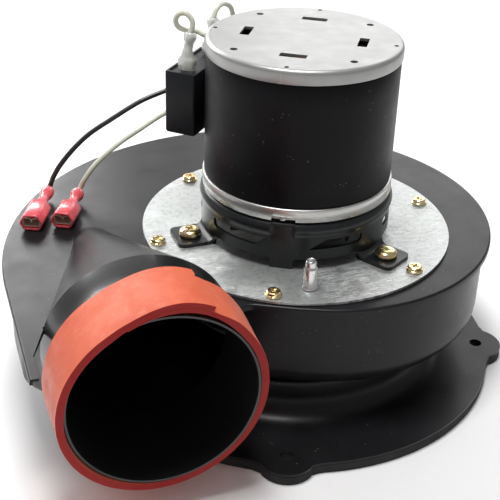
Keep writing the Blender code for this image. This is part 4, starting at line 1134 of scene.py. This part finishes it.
# --- screws ------------------------------------------------------------------
def cross_recess(skin, centre, reach, deep, turn, rim_count, rim_radius, rim_z):
    """A four-armed driver recess sunk in the middle of a screw's head."""
    width = reach * 0.22
    outline = []
    for i in range(4):
        angle = turn + 90.0 * i
        out = Vector(polar(1.0, angle))
        side = Vector(polar(1.0, angle + 90.0))
        outline.append(out * reach - side * width)
        outline.append(out * reach + side * width)
        outline.append(out * width * 1.5 + side * width * 1.5)
    outline = [(centre[0] + p.x, centre[1] + p.y) for p in outline]
    floor = [lerp(p, centre, 0.45) for p in outline]
    loops = [circle(rim_radius, rim_count, centre), outline]
    skin.area(loops, rim_z)
    skin.between(flat(outline, rim_z), flat(floor, rim_z - deep))
    skin.area([floor], rim_z - deep)


def plate_screw(name, centre, turn):
    """A hex-washer screw with a driver recess."""
    count = SCREW_SIDES
    skin = Skin()
    base = PLATE_TOP + 0.3
    shank = [(0.0, SCREW_FLOOR), (1.0, SCREW_FLOOR + 0.6), (1.8, SCREW_FLOOR + 2.2), (1.8, base)]
    washer = [(3.5, base), (3.6, base + 0.2), (3.6, base + 0.6), (3.4, base + 0.8)]
    skin.turned(shank + washer, count, centre, closed=False)

    def hexagon(radius, rounding):
        loop = []
        for i in range(count):
            angle = 360.0 * i / count
            local = math.radians((angle + turn) % 60.0 - 30.0)
            flat_radius = radius * math.cos(math.radians(30.0)) / math.cos(local)
            loop.append(polar(flat_radius + (radius - flat_radius) * rounding, angle, centre))
        return loop

    rows = [flat(circle(3.4, count, centre), base + 0.8)]
    rows += [flat(hexagon(3.3, 0.3), base + 0.9), flat(hexagon(3.3, 0.3), base + 1.5)]
    rows += [flat(hexagon(3.1, 0.7), base + 1.95), flat(circle(2.6, count, centre), base + 2.25)]
    skin.strips(rows)
    cross_recess(skin, centre, 1.9, 1.1, turn + 12.0, count, 2.6, base + 2.25)
    return skin.make(name, "yellow_zinc", sharp=30.0)


def pan_screw(name, centre, turn):
    """A pan-head screw with a driver recess."""
    count = SCREW_SIDES
    skin = Skin()
    base = CAGE_BOTTOM + 1.8
    profile = [(0.0, 62.4), (1.2, 62.9), (2.1, 64.4), (2.1, base), (4.8, base)]
    profile += [(5.0, base + 0.3), (5.0, base + 1.0)]
    dome = [(5.0 - 3.0 * (1 - math.cos(a)), base + 1.0 + 2.0 * math.sin(a))
            for a in (math.radians(12.0 * i) for i in range(1, 8))]
    skin.turned(profile + dome, count, centre, closed=False)
    rim_radius, rim_z = dome[-1]
    cross_recess(skin, centre, rim_radius * 0.82, 1.3, turn, count, rim_radius, rim_z)
    return skin.make(name, "yellow_zinc", sharp=30.0)


def add_screws():
    for i, centre in enumerate(PLATE_SCREWS):
        piece = plate_screw(f"hex_screw_{i + 1}", centre, 23.0 * i)
        stands_for(piece, f"plate_screw_{i + 1}")
    for i, centre in enumerate(MOUNT_SCREWS):
        piece = pan_screw(f"pan_screw_{i + 1}", centre, 31.0 + 17.0 * i)
        stands_for(piece, f"mount_screw_{i + 1}")


def add_motor_plate():
    loops = [circle(PLATE_RADIUS, 192, PLATE_CENTRE), circle(6.0, 32)]
    loops += [circle(2.3, 16, at) for at in PLATE_SCREWS]
    loops += [circle(2.6, 16, at) for at in MOUNT_SCREWS]
    loops += [circle(3.0, 20, TAP_AT)]
    piece = plate_solid("motor_base_plate", "galvanised", loops, PLATE_BOTTOM, PLATE_TOP)
    stands_for(bevel(piece, 0.3), "motor_plate")


def add_tap():
    """A hollow turned nipple with a thinner stem."""
    base = PLATE_TOP + 0.3
    profile = [
        (2.6, 63.4), (2.6, base), (3.4, base), (3.5, base + 0.2), (3.5, base + 0.7),
        (3.3, base + 0.9), (3.05, base + 1.2), (3.0, base + 1.6), (3.0, base + 9.2),
        (2.9, base + 9.6), (2.45, base + 10.1), (2.35, base + 10.4), (2.35, base + 12.2),
        (2.2, base + 12.7), (1.9, base + 12.9), (1.6, base + 12.7), (1.4, base + 12.3),
        (1.4, 63.4),
    ]
    skin = Skin()
    skin.turned(profile, 64, TAP_AT)
    piece = skin.make("pressure_tap_turned", "bright_steel", sharp=45.0)
    stands_for(piece, "pressure_tap")


# --- cage --------------------------------------------------------------------
def rise(distance, radius):
    """How far a round corner has left its edge at this distance along it."""
    if distance >= radius:
        return 0.0
    return radius - math.sqrt(radius**2 - (radius - max(0.0, distance)) ** 2)


def window(offset):
    """The opening's (low, high) this many degrees from a plain foot's middle.

    A pointed tongue closes the end of each window beside the plain foot.
    """
    if 15.2 < offset < 49.8:
        end = rise((49.8 - offset) * PER_DEGREE, WINDOW_ROUND)
        low = WINDOW_LOW + end
        return low, max(low, min(WINDOW_HIGH - end, WINDOW_LOW + (offset - 15.2) * 0.42))
    if -48.8 < offset < -8.8:
        end = rise((offset + 48.8) * PER_DEGREE, WINDOW_ROUND)
        high = WINDOW_HIGH - end - rise((-8.8 - offset) * PER_DEGREE, 1.0)
        return min(high, max(WINDOW_LOW + end, WINDOW_LOW + (offset + 15.8) * 0.60)), high
    if 0.0 < offset <= 15.2:
        return WINDOW_LOW, WINDOW_LOW
    if -8.8 <= offset <= 0.0:
        return WINDOW_HIGH - 1.0, WINDOW_HIGH - 1.0
    return (WINDOW_LOW + WINDOW_HIGH) / 2, (WINDOW_LOW + WINDOW_HIGH) / 2


def add_cage():
    """A pressed ring on six feet with round-ended windows and a rolled shoulder."""
    near = [1.0 - c for _, c in quarter(6)]
    offsets = {1.5 * i - 60.0 for i in range(80)} | {15.2, 25.7, -15.8, -8.8}
    offsets |= {49.8 - WINDOW_ROUND * share / PER_DEGREE for share in near}
    offsets |= {-48.8 + WINDOW_ROUND * share / PER_DEGREE for share in near}
    offsets |= {-8.8 - share / PER_DEGREE for share in near}
    for edge, outward in ((6.75, 1.0), (-6.75, -1.0), (48.45, -1.0), (-47.95, 1.0)):
        offsets |= {edge + outward * FOOT_ROUND * share / PER_DEGREE for share in near}
        offsets.add(edge - outward * 0.03)
    offsets = sorted({round(offset, 3) for offset in offsets if -60.0 <= offset < 60.0})
    # the shoulder rolls out over the wall and in under the motor
    shoulder = [(-3.0 + 3.75 * math.cos(math.radians(a)), 84.9 + 3.9 * math.sin(math.radians(a)))
                for a in (-34.0, -20.0, -5.0, 10.0, 25.0, 40.0, 52.0, 64.0, 76.0, 90.0)]
    shoulder += [(-4.0, CAGE_TOP)]
    rows = [[] for _ in range(4 + len(shoulder))]
    for i in range(3):
        for offset in offsets:
            beside = min(max(first - offset, offset - last) for first, last in FEET)
            foot = CAGE_BOTTOM
            if beside > 1e-3:
                foot = STRAP_LOW - rise(beside * PER_DEGREE, FOOT_ROUND)
            # the wall stays straight above each plain foot
            straight = min(1.0, max(0.0, (6.75 - abs(offset)) / 0.6 + 0.5))
            low, high = window(offset)
            column = [(0.0, foot), (0.0, low), (0.0, high), (0.0, 82.0)]
            for grow, z in shoulder:
                column.append((grow - (max(0.0, grow) + 0.35) * straight, z))
            for row, (grow, z) in zip(rows, column):
                row.append((*polar(CAGE_RADIUS + grow, PLAIN_FOOT + 120.0 * i + offset), z))
    skin = Skin()
    for i, (first, second) in enumerate(zip(rows, rows[1:])):
        if i != 1:
            skin.between(first, second)
    piece = skin.make("cage_pressing", "cage_black", sharp=50.0)
    bevel(thicken(piece, 1.2), 0.32, 3, 60.0)
    stands_for(piece, "motor_cage")
    for i, turn in enumerate(MOUNT_TURNS):
        ear = Skin()
        add_ear(ear, turn)
        piece = bevel(ear.make(f"cage_ear_{i + 1}", "cage_black", sharp=40.0), 0.3, 2, 50.0)
        stands_for(piece)


def add_ear(skin, turn):
    """One bent foot: the wall's sheet curves out and lies flat on the plate."""
    out = Vector(polar(1.0, turn))
    side = Vector(polar(1.0, turn + 90.0))
    thick, half, low, corner = 1.5, 8.7, CAGE_BOTTOM, 3.0
    bend, flare = 2.6, 1.6
    centre = polar(MOUNT_SCREW_CIRCLE, turn)
    hole = circle(2.5, 24, centre)
    start = CAGE_RADIUS + bend - 0.3
    outline = [(start, -half)]
    outline += arc(corner, -90.0, 0.0, 9, (58.0 - corner, -half + corner))
    outline += arc(corner, 0.0, 90.0, 9, (58.0 - corner, half - corner))
    outline += [(start, half)]
    points = [tuple(out * u + side * v) for u, v in outline]
    for z in (low, low + thick):
        skin.area([points, hole], z)
    for loop, closed in ((points, False), (hole, True)):
        skin.between(flat(loop, low), flat(loop, low + thick), closed)
    rows = []
    for s, c in quarter(8):
        lift = 1 - c
        wide = half + flare * lift**2
        row = []
        for share, deep in ((-1.0, 0.0), (-0.5, 0.0), (0.0, 0.0), (0.5, 0.0), (1.0, 0.0),
                            (1.0, 1.0), (0.5, 1.0), (0.0, 1.0), (-0.5, 1.0), (-1.0, 1.0)):
            v = share * wide
            wall = math.sqrt(CAGE_RADIUS**2 - v * v) - 0.25 - 0.9 * deep
            flat_u = start - bend * s - deep * 1.2 * s
            u = flat_u + (wall - flat_u) * lift**1.5
            z = low + thick * (1.0 - deep) + bend * lift + deep * thick * lift
            spot = out * u + side * v
            row.append((spot.x, spot.y, z))
        rows.append(row)
    skin.rings(rows)


# --- motor -------------------------------------------------------------------
def add_band():
    """The lower end bell's visible rim, with its notch and its web inside."""
    count = 192
    skin = Skin()

    def foot(degrees):
        offset = (degrees - NOTCH_FROM) % 360.0
        return BAND_BOTTOM + (NOTCH_DEEP if offset < NOTCH_TO - NOTCH_FROM else 0.0)

    angles = [360.0 * i / count for i in range(count)]
    for edge in (NOTCH_FROM, NOTCH_TO):
        angles += [(edge - 0.02) % 360.0, (edge + 0.02) % 360.0]
    angles.sort()
    rows = []
    for radius, lift, top in (
        (41.3, 0.0, None), (BAND_RADIUS - 0.25, 0.0, None), (BAND_RADIUS, 0.3, None),
        (BAND_RADIUS, None, BAND_TOP - 0.6), (BAND_RADIUS - 0.15, None, BAND_TOP - 0.25),
        (BAND_RADIUS - 0.55, None, BAND_TOP),
        (41.2, None, BAND_TOP), (41.2, None, 92.6),
    ):
        heights = [foot(angle) + lift if top is None else top for angle in angles]
        rows.append(turned_row(radius, angles, heights))
    skin.rings(rows, closed=True)
    piece = skin.make("band_rim", "band_zinc", sharp=40.0)
    stands_for(piece)
    web = Skin()
    web.turned([(40.9, BAND_BOTTOM + 0.4), (41.0, 90.8), (SEAT_OUTER, 90.8), (SEAT_OUTER, 97.5),
                (SEAT_INNER, 97.5), (SEAT_INNER, 90.4), (8.0, 90.4), (8.0, BAND_BOTTOM),
                (39.6, BAND_BOTTOM)], 128)
    stands_for(web.make("band_web", "band_zinc"), "lower_band")
    # the dimple pressed in at the notch
    dimple = Skin()
    rows = []
    for s, c in quarter(6):
        loop = []
        for a, b in circle(1.5 * c + 0.02, 24):
            spot = polar(41.7 + 0.7 * s, DIMPLE_AT + math.degrees(a / 42.0))
            loop.append((*spot, BAND_BOTTOM + 1.1 + b * 0.7))
        rows.append(loop)
    dimple.rings(rows)
    stands_for(dimple.make("band_dimple", "band_zinc"))


def add_shell():
    skin = Skin()
    outer = SHELL_RADIUS
    profile = [
        (outer - 0.5, SHELL_BOTTOM), (outer - 0.1, SHELL_BOTTOM + 0.3), (outer, SHELL_BOTTOM + 0.8),
        (outer, 110.0), (outer, 125.0), (outer, 140.0), (outer, SHELL_TOP - 0.6),
        (outer - 0.3, SHELL_TOP), (outer - 1.0, SHELL_TOP), (outer - 1.0, SHELL_BOTTOM),
    ]
    skin.turned(profile, 192)
    stands_for(skin.make("shell_drum", "shell_black"), "motor_shell")

    rows = []
    for reach, radius in ((42.0, 3.9), (47.0, 3.9), (47.5, 4.2), (47.6, 4.8), (47.3, 5.6),
                          (46.4, 6.3), (44.6, 6.8), (43.4, 7.0), (42.4, 7.0)):
        row = []
        for a, b in circle(radius, 48):
            row.append(tuple(EXIT_OUT * reach + EXIT_SIDE * a + UP * (GROMMET_Z + b)))
        rows.append(row)
    skin = Skin()
    skin.rings(rows, closed=True)
    stands_for(skin.make("exit_grommet", "rubber_black"), "lead_grommet")


def add_cap():
    holes = [circle(1.0, 16, polar(39.0, 58.5 + 90.0 * i)) for i in range(4)]
    holes += [circle(1.6, 20, polar(35.0, 13.5 + 90.0 * i)) for i in range(4)]
    for i in range(4):
        turn = 58.5 + 90.0 * i
        out, side = Vector(polar(1.0, turn)), Vector(polar(1.0, turn + 90.0))
        shape = [(a + 25.1, b) for a, b in rounded_box(4.2, 11.2, 0.5, 3)]
        holes.append([tuple(out * u + side * v) for u, v in shape])
    edge = [(40.4 + 2.0 * s, CAP_TOP - 2.0 * (1 - c)) for s, c in quarter(8)]
    rim = edge + [(CAP_RADIUS, CAP_BOTTOM + 0.5), (CAP_RADIUS - 0.25, CAP_BOTTOM)]
    rim += [(41.4, CAP_BOTTOM), (41.2, 153.6), (40.2, CAP_UNDER)]
    boss = [(SEAT_OUTER, CAP_UNDER), (SEAT_OUTER, 147.2), (SEAT_INNER, 147.2),
            (SEAT_INNER, CAP_UNDER)]
    count, small = 160, 48
    skin = Skin()
    skin.area([circle(rim[0][0], count)] + holes, CAP_TOP)
    skin.area([circle(rim[-1][0], count), circle(boss[0][0], small)] + holes, CAP_UNDER)
    skin.area([circle(boss[-1][0], small)], CAP_UNDER)
    skin.turned(rim, count, closed=False)
    skin.turned(boss, small, closed=False)
    for loop in holes:
        skin.between(flat(loop, CAP_UNDER), flat(loop, CAP_TOP))
    piece = skin.make("cap_pressing", "cap_grey", sharp=30.0)
    stands_for(piece, "top_cap")


# --- moving parts ------------------------------------------------------------
def add_fan():
    """The cooling fan: twelve leaning blades between a hub and a top disc."""
    skin = Skin()
    skin.turned([(4.4, 73.5), (9.4, 73.5), (10.0, 74.1), (10.0, 83.9), (36.6, 83.9),
                 (37.0, 84.2), (37.0, 85.0), (36.7, 85.3), (4.4, 85.3)], 96)
    for i in range(12):
        rows = []
        for k in range(9):
            share = k / 8
            radius = 9.6 + 26.8 * share
            sweep = 30.0 * i - 12.0 * share * share
            half = math.degrees(0.55 / radius)
            top = sweep + 5.0
            angles = (sweep - half, sweep + half, top + half, top - half)
            rows.append(turned_row(radius, angles, (73.7, 73.7, 84.3, 84.3)))
        skin.rings(rows)
    piece = skin.make("fan_wheel", "fan_black", sharp=40.0)
    stands_for(piece, "cooling_fan", body="rotor")


def add_impeller():
    """The blower wheel: forward-curved vanes between a disc and an end ring."""
    low, high = 36.6, 60.7
    disc = Skin()
    disc.turned([(9.6, 60.3), (30.0, 60.3), (56.6, 60.3), (57.0, 60.6), (57.0, 61.2),
                 (56.7, 61.5), (9.6, 61.5)], 144)
    ring = [(47.2, 35.5), (56.7, 35.5), (57.0, 35.8), (57.0, 36.6), (56.7, 37.0), (47.2, 37.0)]
    disc.turned(ring, 144)
    for i in range(36):
        rows = []
        for k in range(7):
            share = k / 6
            radius = 47.4 + 9.2 * share
            sweep = 10.0 * i + 9.0 * share * share
            half = math.degrees(0.35 / radius)
            angles = (sweep - half, sweep + half, sweep + half, sweep - half)
            rows.append(turned_row(radius, angles, (low, low, high, high)))
        disc.rings(rows)
    piece = disc.make("blower_wheel", "wheel_zinc", sharp=40.0)
    stands_for(piece, "impeller", body="rotor")


def finish_inner_nodes():
    """The hidden CAD solids stay and take their finishes."""
    looks = {entry["node"]: entry["material_slot"] for entry in frame["record"]["subparts"]}
    for name, node in frame["nodes"].items():
        finish = FINISHES.get(looks.get(name))
        if finish is None or node.type != "MESH":
            continue
        for slot in node.material_slots:
            slot.material = finish
        if not node.material_slots:
            node.data.materials.append(finish)


# --- stage -------------------------------------------------------------------
def add_stage():
    floor = bpy.data.meshes.new("floor")
    size = 6.0
    floor.from_pydata([(-size, -size, 0), (size, -size, 0), (size, size, 0), (-size, size, 0)],
                      [], [(0, 1, 2, 3)])
    piece = in_scene(bpy.data.objects.new("floor", floor))
    piece.location.z = -0.0002
    finish = Finish("floor_pale")
    finish.colour(finish.blend(finish.noise(3.0), (0.94, 0.94, 0.94), (0.96, 0.96, 0.96)))
    finish.shader.inputs["Roughness"].default_value = 0.9
    floor.materials.append(finish.material)

    world = bpy.data.worlds.new("studio")
    world.use_nodes = True
    world.node_tree.nodes["Background"].inputs["Color"].default_value = (1.0, 1.0, 1.0, 1.0)
    world.node_tree.nodes["Background"].inputs["Strength"].default_value = 0.28
    bpy.context.scene.world = world

    def softbox(name, place, aim, width, height, power):
        data = bpy.data.lights.new(name, "AREA")
        data.shape = "RECTANGLE"
        data.size, data.size_y = width, height
        data.energy = power
        lamp = in_scene(bpy.data.objects.new(name, data))
        lamp.location = place
        lamp.rotation_euler = (Vector(aim) - Vector(place)).to_track_quat("-Z", "Y").to_euler()

    softbox("overhead", (-0.10, -0.05, 1.00), (0.0, 0.0, 0.08), 0.30, 0.30, 7.0)
    softbox("back_left", (-0.34, 1.22, 0.66), (-0.05, 0.0, 0.06), 1.0, 0.6, 15.0)
    softbox("back_right", (0.80, 1.10, 0.74), (0.0, 0.0, 0.08), 1.0, 0.9, 6.0)
    bpy.context.scene.view_settings.view_transform = "Standard"


add_camera()
add_supply_leads(add_terminals())
add_capacitor_leads()
add_capacitor()
add_flange()
add_housing()
add_cover()
add_outlet()
add_strip()
add_motor_plate()
add_tap()
add_screws()
add_cage()
add_band()
add_shell()
add_cap()
add_fan()
add_impeller()
finish_inner_nodes()
add_stage()
